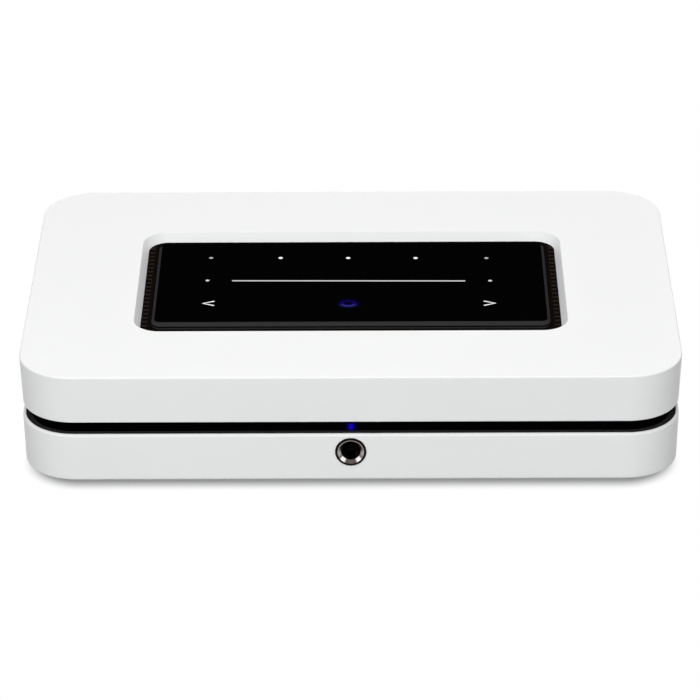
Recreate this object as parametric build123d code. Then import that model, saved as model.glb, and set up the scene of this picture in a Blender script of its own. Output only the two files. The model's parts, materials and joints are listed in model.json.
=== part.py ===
from build123d import *
from math import atan, cos, degrees, floor, pi
import os

# A flat network music streamer: two drafted shells with a black channel between them,
# a touch panel sunk into the top, a headphone socket in front and a row of sockets behind.
# Millimetres, +Z up, the front faces -Y, the origin is under the middle of the case.

# Case
case_width = 220.0
case_depth = 146.0
case_corner = 18.5
foot_stand = 2.5
lower_height = 17.3
channel_height = 4.5
upper_height = 17.0
upper_draw_in = 0.7
lower_top_step = 0.4
lower_draw_in = 0.4
wall = 2.2
top_wall = 2.4
floor_wall = 2.5
upper_top_round = 0.6
upper_bottom_bevel = 0.3
lower_top_round = 0.8
lower_bottom_round = 1.0

# Clearances, and how far every cutting tool runs past what it cuts
fit_gap = 0.1
loose_gap = 0.15
part_gap = 0.3
screw_gap = 0.05
overrun = 1.0

# Recess in the top and the ribbed frame in it
recess_width = 146.6
recess_depth = 78.0
recess_corner = 9.0
recess_fall = 3.2
recess_draw_in = 2.0
recess_wall = 1.8
recess_bevel = 0.3
vent_plate = 1.6
vent_rim = 6.4
slot_width = 1.6
slot_pitch = 3.0
slot_rib = 1.5
slot_margin = 0.5
slot_end = 5.0
trim_screw_share = 0.72

# Touch panel
glass_side_margin = 3.8
glass_end_margin = 5.2
glass_corner = 3.2
glass_thickness = 2.2
glass_bevel = 1.0
glass_sink = 0.75
glass_seat = 3.0
mask_thickness = 1.2
touch_board_thickness = 1.2
dot_window = 1.6
line_window = 2.0
arrow_window = 6.0
ring_window = 3.6
led_length = 1.6
led_width = 0.8
led_height = 0.6
dot_column_shares = (-0.370, -0.190, -0.015, 0.159, 0.342)
row_shares = (0.296, 0.010, -0.264)
line_share = 0.61
line_led_shares = (-0.24, -0.12, 0.0, 0.12, 0.24)
ribbon_width = 12.0
ribbon_thickness = 0.3
ribbon_bend = 3.0
ribbon_reach = 7.0
ribbon_connector_depth = 5.0
ribbon_connector_height = 2.0

# Channel between the shells
ledge_inset = 1.1
ledge_height = 0.8
ledge_sink = 0.2
web_inset = 3.2
web_thickness = 2.0
upper_flange_inset = 1.4
ledge_bevel = 0.25
lug_radius = 4.0
lug_bite = 0.7

# Case screws, their pillars and the feet
case_screw_radius = 1.5
case_screw_length = 26.0
case_head_radius = 2.8
case_head_height = 2.4
head_recess = 3.6
lower_pillar_radius = 4.6
upper_pillar_radius = 3.5
foot_radius = 8.0
foot_sink = 0.8
foot_bevel = 0.7
foot_x_share = 0.74
foot_y_share = 0.70

# Floor vents
floor_slot_width = 2.2
floor_slot_length = 32.0
floor_slot_pitch = 5.6
floor_slots = 12

# Boards
standoff_height = 4.0
standoff_radius = 3.0
board_thickness = 1.6
board_corner = 1.5
board_front = -30.0
board_edge = 3.0
board_screw_radius = 1.25
board_screw_length = 5.5
board_head_radius = 2.4
board_head_height = 1.7
board_screw_inset = 4.5
main_screw_gap = 7.0
power_screw_gap = 6.5

# Row of sockets behind
panel_sink = 9.5
panel_thickness = 1.6
panel_bottom = 7.5
panel_height = 24.5
panel_corner = 4.0
panel_side = 20.0
tray_wall = 1.4
tray_step = 0.6
tray_flange = 1.5
tray_flange_reach = 1.5
tray_margin_share = 0.0422
socket_stand = 0.5
socket_gap_share = 0.0844
mains_width = 22.6
mains_height = 13.0
mains_corner = 3.0
mains_length = 17.0
mains_lobe = 4.0
mains_pin_pitch = 8.6
mains_waist = 6.4
mains_recess = 12.8
mains_pin_radius = 1.2
mains_pin_length = 9.5
mains_pin_bevel = 0.5
mains_gap_share = 0.1926
board_split_shares = (0.411, 0.103)
lan_width = 16.0
lan_height = 13.4
lan_length = 21.0
lan_sheet = 0.4
lan_mouth_width = 11.8
lan_mouth_height = 8.0
lan_mouth_length = 14.0
lan_latch_width = 6.2
lan_latch_height = 2.0
lan_mouth_low = 3.4
lan_wire = 0.45
lan_wire_pitch = 1.02
lan_wire_start = 2.5
lan_wire_run = 8.0
lan_wire_drop = 2.2
lan_wires = 8
usb_width = 13.1
usb_height = 5.7
usb_length = 14.0
usb_sheet = 0.35
usb_corner = 0.9
usb_tongue_width = 11.1
usb_tongue_height = 1.85
usb_tongue_length = 9.0
usb_tongue_low = 2.6
usb_back = 3.5
hdmi_width = 14.6
hdmi_height = 5.3
hdmi_length = 11.5
hdmi_sheet = 0.35
hdmi_shoulder = 1.9
hdmi_side = 2.6
hdmi_tongue_width = 11.4
hdmi_tongue_height = 1.1
hdmi_tongue_length = 7.0
hdmi_back = 3.0
optical_width = 10.4
optical_height = 11.6
optical_length = 15.0
optical_rim = 1.2
optical_mouth = 7.4
optical_mouth_cut = 1.2
optical_side = 0.9
optical_roof = 0.8
optical_back = 2.0
flap_thickness = 0.9
flap_knuckle = 0.6
flap_pin = 0.45
flap_pin_length = 0.7
flap_axis_drop = 0.85
flap_axis_back = 0.75
flap_overlap = 0.35
flap_side_gap = 0.2
emitter_radius = 1.5
emitter_length = 2.5
rca_body_width = 11.0
rca_body_length = 12.0
rca_axis_height = 9.4
rca_ring_radius = 5.2
rca_ring_stand = 0.8
rca_sleeve_radius = 4.15
rca_sleeve_wall = 0.5
rca_sleeve_length = 8.2
rca_core_sink = 0.8
rca_contact_radius = 2.1
rca_contact_bore = 1.65
rca_contact_sink = 1.3
rca_gap_share = 0.0501
rca_count = 4
mini_width = 6.2
mini_height = 8.0
mini_length = 13.0
mini_axis_height = 4.4
mini_barrel = 3.0
mini_bore = 1.8
mini_bore_length = 13.0
mini_gap_share = 0.0897
mini_count = 3

# Headphone socket in front
jack_throat = 3.225
jack_mouth = 4.15
jack_flare = 0.9
jack_collar_radius = 4.35
jack_collar_length = 7.0
jack_rise = 2.1
jack_head = 5.0
jack_bezel_radius = 5.125
jack_bezel_stand = 0.5
jack_bezel_bevel = 0.2
jack_collar_sink = 0.15
jack_width = 13.0
jack_length = 31.0
jack_bore = 3.4
jack_bore_length = 28.0
leaf_thickness = 0.3
leaf_width = 1.8
leaf_length = 4.4
leaf_shares = (0.36, 0.58, 0.80)

# Front board and what stands on it
front_board_width = 46.0
front_board_length = 26.0
front_board_thickness = 1.0
front_screw_inset = 4.0
pipe_width = 1.65
pipe_top_gap = 0.5
pipe_length = 5.0
light_width = 3.2
light_depth = 2.0
receiver_x = 13.0
receiver_width = 5.2
receiver_depth = 3.6
receiver_height = 4.4

# What stands on the main board
sink_x_share = 0.4454
sink_y = 14.0
sink_size = 44.0
sink_base = 3.0
sink_fins = 10
sink_fin = 1.5
sink_fin_height = 11.0
processor_size = 16.0
processor_height = 1.6
memory_width = 9.0
memory_length = 13.0
memory_height = 1.1
memory_gap = 3.0
shield_x_share = 0.797
shield_y = 20.0
shield_width = 30.0
shield_length = 24.0
shield_height = 5.5
shield_corner = 1.5
shield_sheet = 0.4
shield_slot_width = 1.6
shield_slot_length = 15.0
shield_slots = 6
radio_margin = 14.0
radio_y = -6.0
radio_width = 20.0
radio_length = 18.0
radio_board = 1.0
radio_can_margin = 1.5
radio_can_height = 2.2
radio_corner = 1.0
aerial_length = 16.0
aerial_height = 6.0
aerial_sheet = 0.5
aerial_strip = 1.6
aerial_foot = 3.0
aerial_gap = 4.0
ribbon_x_share = 0.621
ribbon_margin = 10.5

# What stands on the power board
power_gap_shares = (0.206, 0.132, 0.176, 0.103, 0.029)
output_margin = 5.0
sheet_thickness = 0.4
fuse_radius = 2.6
fuse_length = 20.0
fuse_cap_length = 5.0
fuse_step = 0.4
choke_radius = 6.2
choke_bore = 2.6
choke_height = 7.5
choke_bevel = 1.2
choke_offset = 7.0
filter_width = 8.0
filter_length = 15.0
filter_height = 13.0
filter_bevel = 0.6
bulk_radius = 7.5
bulk_height = 21.0
bulk_offset = 5.8
can_groove = 0.5
can_groove_height = 1.2
can_groove_low = 2.5
can_bevel = 0.6
transistor_width = 10.0
transistor_body = 4.5
transistor_tab = 1.3
transistor_low = 3.0
transistor_body_height = 9.0
transistor_tab_height = 6.0
transistor_offset = 5.4
core_width = 22.0
core_height = 18.0
core_length = 11.0
core_leg = 4.0
core_center_leg = 7.0
winding_bulge = 4.5
winding_round = 2.5
output_radius = 4.0
output_height = 14.0
output_offset = 4.4
link_width = 9.0
link_length = 12.0
link_height = 6.0
link_offset = 2.0
link_round = 0.5

# Levels that follow
floor_high = foot_stand + floor_wall
channel_low = foot_stand + lower_height
channel_high = channel_low + channel_height
case_top = channel_high + upper_height
ceiling = case_top - top_wall
board_low = floor_high + standoff_height
board_high = board_low + board_thickness
recess_floor = case_top - recess_fall
glass_high = case_top - glass_sink
glass_low = glass_high - glass_thickness
mask_low = glass_low - mask_thickness
touch_low = mask_low - touch_board_thickness
ledge_high = channel_low - ledge_sink
ledge_low = ledge_high - ledge_height

# Plan sizes that follow
lower_width = case_width - 2 * lower_top_step
lower_depth = case_depth - 2 * lower_top_step
lower_corner = case_corner - lower_top_step
lower_skin = lower_draw_in + wall
upper_skin = upper_draw_in + wall
foot_width = recess_width - 2 * recess_draw_in
foot_depth = recess_depth - 2 * recess_draw_in
foot_corner = recess_corner - recess_draw_in
glass_width = foot_width - 2 * glass_side_margin
glass_depth = foot_depth - 2 * glass_end_margin
web_inner = web_inset + web_thickness
lug_reach = (lower_corner - web_inner - lug_radius + lug_bite) * cos(pi / 4)
lug_x = lower_width / 2 - lower_corner + lug_reach
lug_y = lower_depth / 2 - lower_corner + lug_reach
lug_places = [(x, y) for x in (-lug_x, lug_x) for y in (-lug_y, lug_y)]
opening_width = glass_width - 2 * glass_seat
opening_depth = glass_depth - 2 * glass_seat
stack_width = opening_width - 2 * part_gap
stack_depth = opening_depth - 2 * part_gap

# Row of sockets, from the mains inlet on the left to the small sockets on the right
panel_y = case_depth / 2 - panel_sink
tray_y = case_depth / 2 - tray_step
socket_y = panel_y + socket_stand
row_y = panel_y - panel_thickness - part_gap
panel_width = case_width - 2 * panel_side
plugs_width = mains_width + lan_width + usb_width + hdmi_width + optical_width
row_spare = panel_width - 2 * tray_wall - plugs_width - rca_count * rca_body_width - mini_count * mini_width
mains_gap = mains_gap_share * row_spare
socket_gap = socket_gap_share * row_spare
rca_gap = rca_gap_share * row_spare
mini_gap = mini_gap_share * row_spare
rca_pitch = rca_body_width + rca_gap
mini_pitch = mini_width + mini_gap
row_left = -panel_width / 2 + tray_wall + tray_margin_share * row_spare
mains_x = row_left + mains_width / 2
lan_x = row_left + mains_width + mains_gap + lan_width / 2
usb_x = lan_x + lan_width / 2 + socket_gap + usb_width / 2
hdmi_x = usb_x + usb_width / 2 + socket_gap + hdmi_width / 2
optical_x = hdmi_x + hdmi_width / 2 + socket_gap + optical_width / 2
rca_x = optical_x + optical_width / 2 + rca_gap + rca_body_width / 2
rca_places = [rca_x + turn * rca_pitch for turn in range(rca_count)]
mini_x = rca_places[-1] + rca_body_width / 2 + mini_gap + mini_width / 2
mini_places = [mini_x + turn * mini_pitch for turn in range(mini_count)]
panel_z = panel_bottom + panel_height / 2
mains_z = board_high + mains_height / 2
rca_z = board_high + rca_axis_height
mini_z = board_high + mini_axis_height
flap_z = board_high + optical_height - optical_roof - flap_axis_drop
flap_y = socket_y - optical_rim - flap_axis_back
mouth_high = flap_z - flap_knuckle
mouth_low = mouth_high - optical_mouth
flap_low = mouth_low - flap_overlap
cavity_width = optical_width - 2 * optical_side
cavity_low = flap_low - flap_side_gap
cavity_back = socket_y - optical_length + optical_back
jack_z = foot_stand + lower_height / 2 + jack_rise
jack_top = jack_z + jack_head
jack_face = -(lower_depth / 2 - lower_skin) + fit_gap
jack_front = -(lower_depth / 2 - lower_draw_in / 2) - jack_bezel_stand

# Board outlines that follow
board_rear = row_y
main_left = lan_x - lan_width / 2 - board_split_shares[1] * mains_gap
main_right = mini_places[-1] + mini_width / 2 + board_edge
power_left = mains_x - mains_width / 2 - board_edge
power_right = mains_x + mains_width / 2 + board_split_shares[0] * mains_gap
power_x = (power_left + power_right) / 2
main_width = main_right - main_left
sink_x = main_left + sink_x_share * main_width
shield_x = main_left + shield_x_share * main_width
ribbon_x = main_left + ribbon_x_share * main_width
radio_x = main_right - radio_margin
ribbon_y = ribbon_margin - stack_depth / 2
main_screw_y = socket_y - lan_length - main_screw_gap
front_board_rear = jack_face + fit_gap + front_board_length
front_board_low = jack_top
front_board_high = front_board_low + front_board_thickness

# Power board: what stands on it shares out the room between the mains inlet and the front wall
inlet_back = socket_y - mains_length
wall_front = lower_skin - lower_depth / 2
winding_length = core_length + 2 * winding_bulge
round_lengths = 2 * bulk_radius + 2 * output_radius
power_lengths = fuse_length + filter_length + winding_length + round_lengths + output_margin
power_spare = inlet_back - wall_front - power_lengths
power_gaps = [share * power_spare for share in power_gap_shares]
power_screw_y = inlet_back - power_screw_gap
fuse_y = inlet_back - power_gaps[0] - fuse_length / 2
filter_y = fuse_y - fuse_length / 2 - power_gaps[1] - filter_length / 2
bulk_y = filter_y - filter_length / 2 - power_gaps[2] - bulk_radius
core_y = bulk_y - bulk_radius - power_gaps[3] - winding_length / 2
output_y = core_y - winding_length / 2 - power_gaps[4] - output_radius
power_front = output_y - output_radius - output_margin
link_y = bulk_y - link_offset


# A square block between two corners
def block(x0, x1, y0, y1, z0, z1):
    return Pos((x0 + x1) / 2, (y0 + y1) / 2, (z0 + z1) / 2) * Box(x1 - x0, y1 - y0, z1 - z0)


# An upright block with rounded corners in plan
def rounded_block(width, depth, corner, z0, z1, x=0, y=0):
    return Pos(x, y, z0) * extrude(RectangleRounded(width, depth, corner), z1 - z0)


# The same, drawn in on every side towards its lower end
def drafted_block(width, depth, corner, z0, z1, draw_in):
    slope = degrees(atan(draw_in / (z1 - z0)))
    body = extrude(RectangleRounded(width, depth, corner), z1 - z0, taper=slope)
    return Pos(0, 0, z1) * Rot(180, 0, 0) * body


# An upright cylinder
def post(radius, x, y, z0, z1):
    return Pos(x, y, (z0 + z1) / 2) * Cylinder(radius, z1 - z0)


# A cylinder from front to back
def barrel(radius, x, z, y0, y1):
    return Pos(x, (y0 + y1) / 2, z) * Rot(90, 0, 0) * Cylinder(radius, y1 - y0)


# A flat outline in X and Z, carried from y0 to y1
def carried(outline, x, z, y0, y1):
    return Pos(x, y1, z) * Rot(90, 0, 0) * extrude(outline, y1 - y0)


def window(width, height, corner, x, z, y0, y1):
    return carried(RectangleRounded(width, height, corner), x, z, y0, y1)


# A profile of radius and distance turned about the Y axis, and the same stood upright
def turned(points):
    return revolve(Polygon(*points, align=None), Axis.Y)


def turned_up(points):
    return Rot(90, 0, 0) * turned(points)


# An outline in Y and Z, carried across in X
def across(points, x0, x1):
    return Pos(x0, 0, 0) * extrude(Plane.YZ * Polygon(*points, align=None), x1 - x0)


def group(pieces):
    return Compound([solid for piece in pieces for solid in piece.solids()])


def screw(radius, length, head_radius, head_height):
    return post(head_radius, 0, 0, 0, head_height) + post(radius, 0, 0, -length, 0)


def rear_cut(gap):
    width = panel_width + 2 * gap
    height = panel_height + 2 * gap
    return window(width, height, panel_corner + gap, 0, panel_z, panel_y, case_depth / 2 + overrun)


# White upper shell with the sunk recess
def upper_shell():
    shell = drafted_block(case_width, case_depth, case_corner, channel_high, case_top, upper_draw_in)
    shell = fillet(shell.edges().group_by(Axis.Z)[-1], upper_top_round)
    shell = chamfer(shell.edges().group_by(Axis.Z)[0], upper_bottom_bevel)
    inner_width = case_width - 2 * upper_skin
    inner_depth = case_depth - 2 * upper_skin
    inner_corner = case_corner - upper_skin
    shell -= rounded_block(inner_width, inner_depth, inner_corner, channel_high - overrun, ceiling)
    outer_width = foot_width + 2 * recess_wall
    outer_depth = foot_depth + 2 * recess_wall
    outer_corner = foot_corner + recess_wall
    shell += rounded_block(outer_width, outer_depth, outer_corner, recess_floor, ceiling)
    shell += group([post(upper_pillar_radius, x, y, channel_high, ceiling) for x, y in lug_places])
    shell += group([post(standoff_radius, x, y, recess_floor, ceiling) for x, y in trim_places()])
    shell -= drafted_block(recess_width, recess_depth, recess_corner, recess_floor, case_top, recess_draw_in)
    top_edges = shell.edges().group_by(Axis.Z)[-1]
    rim = [edge for edge in top_edges if abs(edge.center().X) <= recess_width / 2 + overrun]
    rim = [edge for edge in rim if abs(edge.center().Y) <= recess_depth / 2 + overrun]
    shell = chamfer(rim, recess_bevel)
    shell -= rear_cut(loose_gap)
    hole_top = foot_stand + head_recess + case_screw_length + part_gap
    for x, y in lug_places:
        shell -= post(case_screw_radius + screw_gap, x, y, channel_high - overrun, hole_top)
    for x, y in trim_places():
        hole_high = recess_floor - vent_plate + board_screw_length * trim_screw_share
        shell -= post(board_screw_radius + screw_gap, x, y, recess_floor - overrun, hole_high)
    return shell


# White lower shell: tub, pillars, vents and the holes for the sockets
def lower_shell():
    shell = drafted_block(lower_width, lower_depth, lower_corner, foot_stand, channel_low, lower_draw_in)
    shell = fillet(shell.edges().group_by(Axis.Z)[-1], lower_top_round)
    shell = fillet(shell.edges().group_by(Axis.Z)[0], lower_bottom_round)
    inner_width = lower_width - 2 * lower_skin
    inner_depth = lower_depth - 2 * lower_skin
    inner_corner = lower_corner - lower_skin
    shell -= rounded_block(inner_width, inner_depth, inner_corner, floor_high, channel_low + overrun)
    rebate = ledge_inset - fit_gap
    rebate_width = lower_width - 2 * rebate
    rebate_depth = lower_depth - 2 * rebate
    rebate_corner = lower_corner - rebate
    shell -= rounded_block(rebate_width, rebate_depth, rebate_corner, ledge_low, channel_low + overrun)
    shell += group([post(lower_pillar_radius, x, y, floor_high, ledge_low) for x, y in lug_places])
    shell += group([post(standoff_radius, x, y, floor_high, board_low) for x, y in board_places()])
    shell += group([post(standoff_radius, x, y, floor_high, front_board_low) for x, y in front_places()])
    shell -= rear_cut(loose_gap)
    shell -= barrel(jack_bezel_radius + fit_gap, 0, jack_z, jack_front - overrun, jack_face + overrun)
    for x, y in lug_places:
        shell -= post(case_head_radius + part_gap, x, y, foot_stand - overrun, foot_stand + head_recess)
        shell -= post(case_screw_radius + part_gap, x, y, foot_stand, ledge_low + overrun)
    for x, y in board_places():
        hole_low = board_high - board_screw_length - screw_gap
        shell -= post(board_screw_radius + screw_gap, x, y, hole_low, board_low + overrun)
    for x, y in front_places():
        hole_low = front_board_high - board_screw_length - screw_gap
        shell -= post(board_screw_radius + screw_gap, x, y, hole_low, front_board_low + overrun)
    for x, y in foot_places():
        shell -= post(foot_radius + loose_gap, x, y, foot_stand - overrun, foot_stand + foot_sink)
    return shell - group(floor_slot_cuts())


def floor_slot_cuts():
    first = sink_x - floor_slot_pitch * (floor_slots - 1) / 2
    half_x, half_y = floor_slot_width / 2, floor_slot_length / 2
    places = [first + turn * floor_slot_pitch for turn in range(floor_slots)]
    low, high = foot_stand - overrun, floor_high + overrun
    return [block(x - half_x, x + half_x, -half_y, half_y, low, high) for x in places]


# Black channel: a web between a ledge on the lower shell and a flange under the upper one
def middle_frame():
    def ring(inset, z0, z1):
        width = lower_width - 2 * inset
        depth = lower_depth - 2 * inset
        return rounded_block(width, depth, lower_corner - inset, z0, z1)

    ledge = ring(ledge_inset, ledge_low, ledge_high)
    ledge = chamfer(ledge.edges().group_by(Axis.Z)[-1], ledge_bevel)
    flange = ring(upper_flange_inset, channel_high - ledge_height, channel_high)
    frame = ledge + ring(web_inset, ledge_low, channel_high) + flange
    frame -= ring(web_inner, ledge_low - overrun, channel_high + overrun)
    frame += group([post(lug_radius, x, y, ledge_low, channel_high) for x, y in lug_places])
    gap_half = panel_width / 2 + tray_flange_reach + part_gap
    below, above = ledge_low - overrun, channel_high + overrun
    frame -= block(-gap_half, gap_half, panel_y - overrun, case_depth, below, above)
    for x, y in lug_places:
        frame -= post(case_screw_radius + part_gap, x, y, below, above)
    pipe_half = pipe_width / 2 + screw_gap
    low = ledge_high - screw_gap
    high = channel_high - ledge_height - pipe_top_gap + screw_gap
    web_front = -lower_depth / 2 + web_inset
    web_back = web_front + web_thickness
    return frame - block(-pipe_half, pipe_half, web_front - overrun, web_back + overrun, low, high)


# Black ribbed frame round the glass
def trim_places():
    x_side = foot_width / 2 + recess_wall + standoff_radius + part_gap
    y_side = foot_depth / 2 + recess_wall + standoff_radius + part_gap
    sides = [(side * x_side, row * y_side * trim_screw_share) for side in (-1, 1) for row in (-1, 1)]
    return sides + [(0, -y_side), (0, y_side)]


def vent_frame():
    width = foot_width + 2 * (recess_wall + vent_rim)
    depth = foot_depth + 2 * (recess_wall + vent_rim)
    low = recess_floor - vent_plate
    frame = rounded_block(width, depth, foot_corner + vent_rim, low, recess_floor)
    frame -= rounded_block(opening_width, opening_depth, glass_corner, low - overrun, recess_floor + overrun)
    slot_x = foot_width / 2 - slot_margin - slot_width / 2
    slots = floor((foot_depth - 2 * slot_end) / slot_pitch)
    first = -slot_pitch * (slots - 1) / 2
    half = (slot_pitch - slot_rib) / 2
    cuts = []
    for side in (-slot_x, slot_x):
        for turn in range(slots):
            y = first + turn * slot_pitch
            x0, x1 = side - slot_width / 2, side + slot_width / 2
            cuts.append(block(x0, x1, y - half, y + half, low - overrun, recess_floor + overrun))
    frame -= group(cuts)
    for x, y in trim_places():
        frame -= post(board_screw_radius + part_gap, x, y, low - overrun, recess_floor + overrun)
    return frame


# Touch panel: bevelled glass, gasket, light mask, board and lights
def touch_glass():
    glass = rounded_block(glass_width, glass_depth, glass_corner, glass_low, glass_high)
    return chamfer(glass.edges().group_by(Axis.Z)[-1], glass_bevel)


def glass_gasket():
    width, depth = glass_width - 2 * part_gap, glass_depth - 2 * part_gap
    outer = rounded_block(width, depth, glass_corner - part_gap, recess_floor, glass_low)
    inner_width, inner_depth = opening_width + 2 * part_gap, opening_depth + 2 * part_gap
    low, high = recess_floor - overrun, glass_low + overrun
    return outer - rounded_block(inner_width, inner_depth, glass_corner, low, high)


def dot_places():
    upper = [(share * glass_width, row_shares[0] * glass_depth) for share in dot_column_shares]
    ends = [(share * glass_width, row_shares[1] * glass_depth) for share in dot_column_shares[::4]]
    return upper + ends


def arrow_places():
    return [(share * glass_width, row_shares[2] * glass_depth) for share in dot_column_shares[::4]]


def ring_place():
    return dot_column_shares[2] * glass_width, row_shares[2] * glass_depth


def icon_light_mask():
    mask = rounded_block(stack_width, stack_depth, glass_corner, mask_low, glass_low)
    low, high = mask_low - overrun, glass_low + overrun
    for x, y in dot_places():
        mask -= block(x - dot_window, x + dot_window, y - dot_window, y + dot_window, low, high)
    half = arrow_window / 2
    for x, y in arrow_places():
        mask -= block(x - half, x + half, y - half, y + half, low, high)
    mask -= post(ring_window, *ring_place(), low, high)
    half = line_share * glass_width / 2
    x = dot_column_shares[2] * glass_width
    y = row_shares[1] * glass_depth
    return mask - block(x - half, x + half, y - line_window / 2, y + line_window / 2, low, high)


def touch_board():
    return rounded_block(stack_width, stack_depth, glass_corner, touch_low, mask_low)


def icon_lights():
    line_x = dot_column_shares[2] * glass_width
    line_y = row_shares[1] * glass_depth
    line = [(line_x + share * glass_width, line_y) for share in line_led_shares]
    places = dot_places() + arrow_places() + [ring_place()] + line
    half_x, half_y = led_length / 2, led_width / 2
    high = mask_low + led_height
    return group([block(x - half_x, x + half_x, y - half_y, y + half_y, mask_low, high) for x, y in places])


# Flat ribbon cable that turns down from the touch board to the main board
def ribbon_levels():
    return board_high + ribbon_connector_height / 2, touch_low - ribbon_connector_height / 2


def touch_ribbon():
    low, high = ribbon_levels()
    half = ribbon_thickness / 2
    width = 2 * ribbon_reach
    outer = RectangleRounded(width + 2 * half, high - low + 2 * half, ribbon_bend + half)
    inner = RectangleRounded(width - 2 * half, high - low - 2 * half, ribbon_bend - half)
    loop = Plane.YZ * (outer - inner)
    x0 = ribbon_x - ribbon_width / 2
    band = Pos(x0, ribbon_y, (low + high) / 2) * extrude(loop, ribbon_width)
    keep_low, keep_high = low - overrun, high + overrun
    front = ribbon_y - ribbon_reach - overrun
    return band & block(x0, x0 + ribbon_width, front, ribbon_y, keep_low, keep_high)


def ribbon_connectors():
    half = ribbon_width / 2 + part_gap
    y1 = ribbon_y + ribbon_connector_depth
    left, right = ribbon_x - half, ribbon_x + half
    lower = block(left, right, ribbon_y, y1, board_high, board_high + ribbon_connector_height)
    upper = block(left, right, ribbon_y, y1, touch_low - ribbon_connector_height, touch_low)
    return group([lower, upper])


# Status light in the channel, with its infrared neighbour and their board
def pipe_levels():
    return ledge_high, channel_high - ledge_height - pipe_top_gap


def status_light_pipe():
    low, high = pipe_levels()
    front = -lower_depth / 2 + web_inset
    return block(-pipe_width / 2, pipe_width / 2, front, front + pipe_length, low, high)


def status_light():
    front = -lower_depth / 2 + web_inset + pipe_length
    high = pipe_levels()[1]
    return block(-light_width / 2, light_width / 2, front, front + light_depth, front_board_high, high)


def infrared_receiver():
    front = -lower_depth / 2 + web_inner + part_gap
    half = receiver_width / 2
    back = front + receiver_depth
    high = front_board_high + receiver_height
    body = block(receiver_x - half, receiver_x + half, front, back, front_board_high, high)
    body = fillet(body.edges().filter_by(Axis.Z), receiver_depth / 4)
    lens_z = front_board_high + receiver_height / 2
    return body + barrel(receiver_height / 4, receiver_x, lens_z, front - fit_gap, front + receiver_depth / 2)


def front_places():
    x = front_board_width / 2 - front_screw_inset
    return [(-x, front_board_rear - front_screw_inset), (x, front_board_rear - front_screw_inset)]


def front_board():
    y0 = web_inner + part_gap - lower_depth / 2
    middle = (y0 + front_board_rear) / 2
    length = front_board_rear - y0
    low, high = front_board_low, front_board_high
    board = rounded_block(front_board_width, length, board_corner, low, high, 0, middle)
    for x, y in front_places():
        board -= post(board_screw_radius + part_gap, x, y, low - overrun, high + overrun)
    return board


# Headphone socket: bezel, collar with a bevelled mouth, body with a blind bore, and spring leaves
def headphone_bezel():
    inner, outer = jack_collar_radius + screw_gap, jack_bezel_radius
    bevel = jack_bezel_bevel
    front_points = [(inner, jack_front), (outer - bevel, jack_front), (outer, jack_front + bevel)]
    return Pos(0, 0, jack_z) * turned(front_points + [(outer, jack_face), (inner, jack_face)])


def headphone_collar():
    front = jack_front + jack_collar_sink
    back = front + jack_collar_length
    throat = front + jack_flare
    outside = jack_collar_radius
    inner_points = [(jack_mouth, front), (jack_throat, throat), (jack_throat, back)]
    return Pos(0, 0, jack_z) * turned(inner_points + [(outside, back), (outside, front)])


def leaf_spans():
    starts = [jack_face + share * jack_length for share in leaf_shares]
    return [(start - leaf_length / 2, start + leaf_length / 2) for start in starts]


def headphone_body():
    half = jack_width / 2
    back = jack_face + jack_length
    body = block(-half, half, jack_face, back, floor_high, jack_top)
    body = fillet(body.edges().filter_by(Axis.Y), leaf_width / 2)
    collar_back = jack_front + jack_collar_sink + jack_collar_length
    body -= barrel(jack_collar_radius + screw_gap, 0, jack_z, jack_face - overrun, collar_back)
    body -= barrel(jack_bore, 0, jack_z, jack_face, jack_face + jack_bore_length)
    z0, z1 = jack_z - leaf_width / 2 - fit_gap, jack_z + leaf_width / 2 + fit_gap
    for y0, y1 in leaf_spans():
        body -= block(-half - overrun, 0, y0, y1, z0, z1)
    return body


def headphone_contacts():
    half = jack_width / 2
    inner = half - leaf_thickness
    tip = jack_bore + screw_gap
    outer_tip = tip + leaf_thickness
    leaves = []
    for y0, y1 in leaf_spans():
        middle = (y0 + y1) / 2
        points = [(-inner, y0), (-tip, middle), (-inner, y1), (-half, y1), (-outer_tip, middle), (-half, y0)]
        leaf = extrude(Polygon(*points, align=None), leaf_width)
        leaves.append(Pos(0, 0, jack_z - leaf_width / 2) * leaf)
    return group(leaves)


# Boards
def main_places():
    left, right = main_left + board_screw_inset, main_right - board_screw_inset
    front = board_front + board_screw_inset
    return [(x, y) for x in (left, right) for y in (front, main_screw_y)]


def power_places():
    left, right = power_left + board_screw_inset, power_right - board_screw_inset
    front = power_front + board_screw_inset
    return [(x, y) for x in (left, right) for y in (front, power_screw_y)]


def board_places():
    return main_places() + power_places()


def drilled_board(left, right, front, places):
    x, y = (left + right) / 2, (front + board_rear) / 2
    board = rounded_block(right - left, board_rear - front, board_corner, board_low, board_high, x, y)
    for x, y in places:
        board -= post(board_screw_radius + part_gap, x, y, board_low - overrun, board_high + overrun)
    return board


def main_board():
    return drilled_board(main_left, main_right, board_front, main_places())


def power_board():
    return drilled_board(power_left, power_right, power_front, power_places())


def insulating_sheet():
    middle_y = (power_front + board_rear) / 2
    high = floor_high + sheet_thickness
    width, length = power_right - power_left, board_rear - power_front
    sheet = rounded_block(width, length, board_corner, floor_high, high, power_x, middle_y)
    for x, y in power_places():
        sheet -= post(standoff_radius + part_gap, x, y, floor_high - overrun, high + overrun)
    return sheet


def processor_and_memory():
    half = processor_size / 2
    high = board_high + processor_height
    chips = [block(sink_x - half, sink_x + half, sink_y - half, sink_y + half, board_high, high)]
    x0 = sink_x - half - memory_gap - memory_width
    for y in (sink_y - memory_length / 2 - memory_gap / 2, sink_y + memory_length / 2 + memory_gap / 2):
        y0, y1 = y - memory_length / 2, y + memory_length / 2
        chips.append(block(x0, x0 + memory_width, y0, y1, board_high, board_high + memory_height))
    return group(chips)


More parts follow.
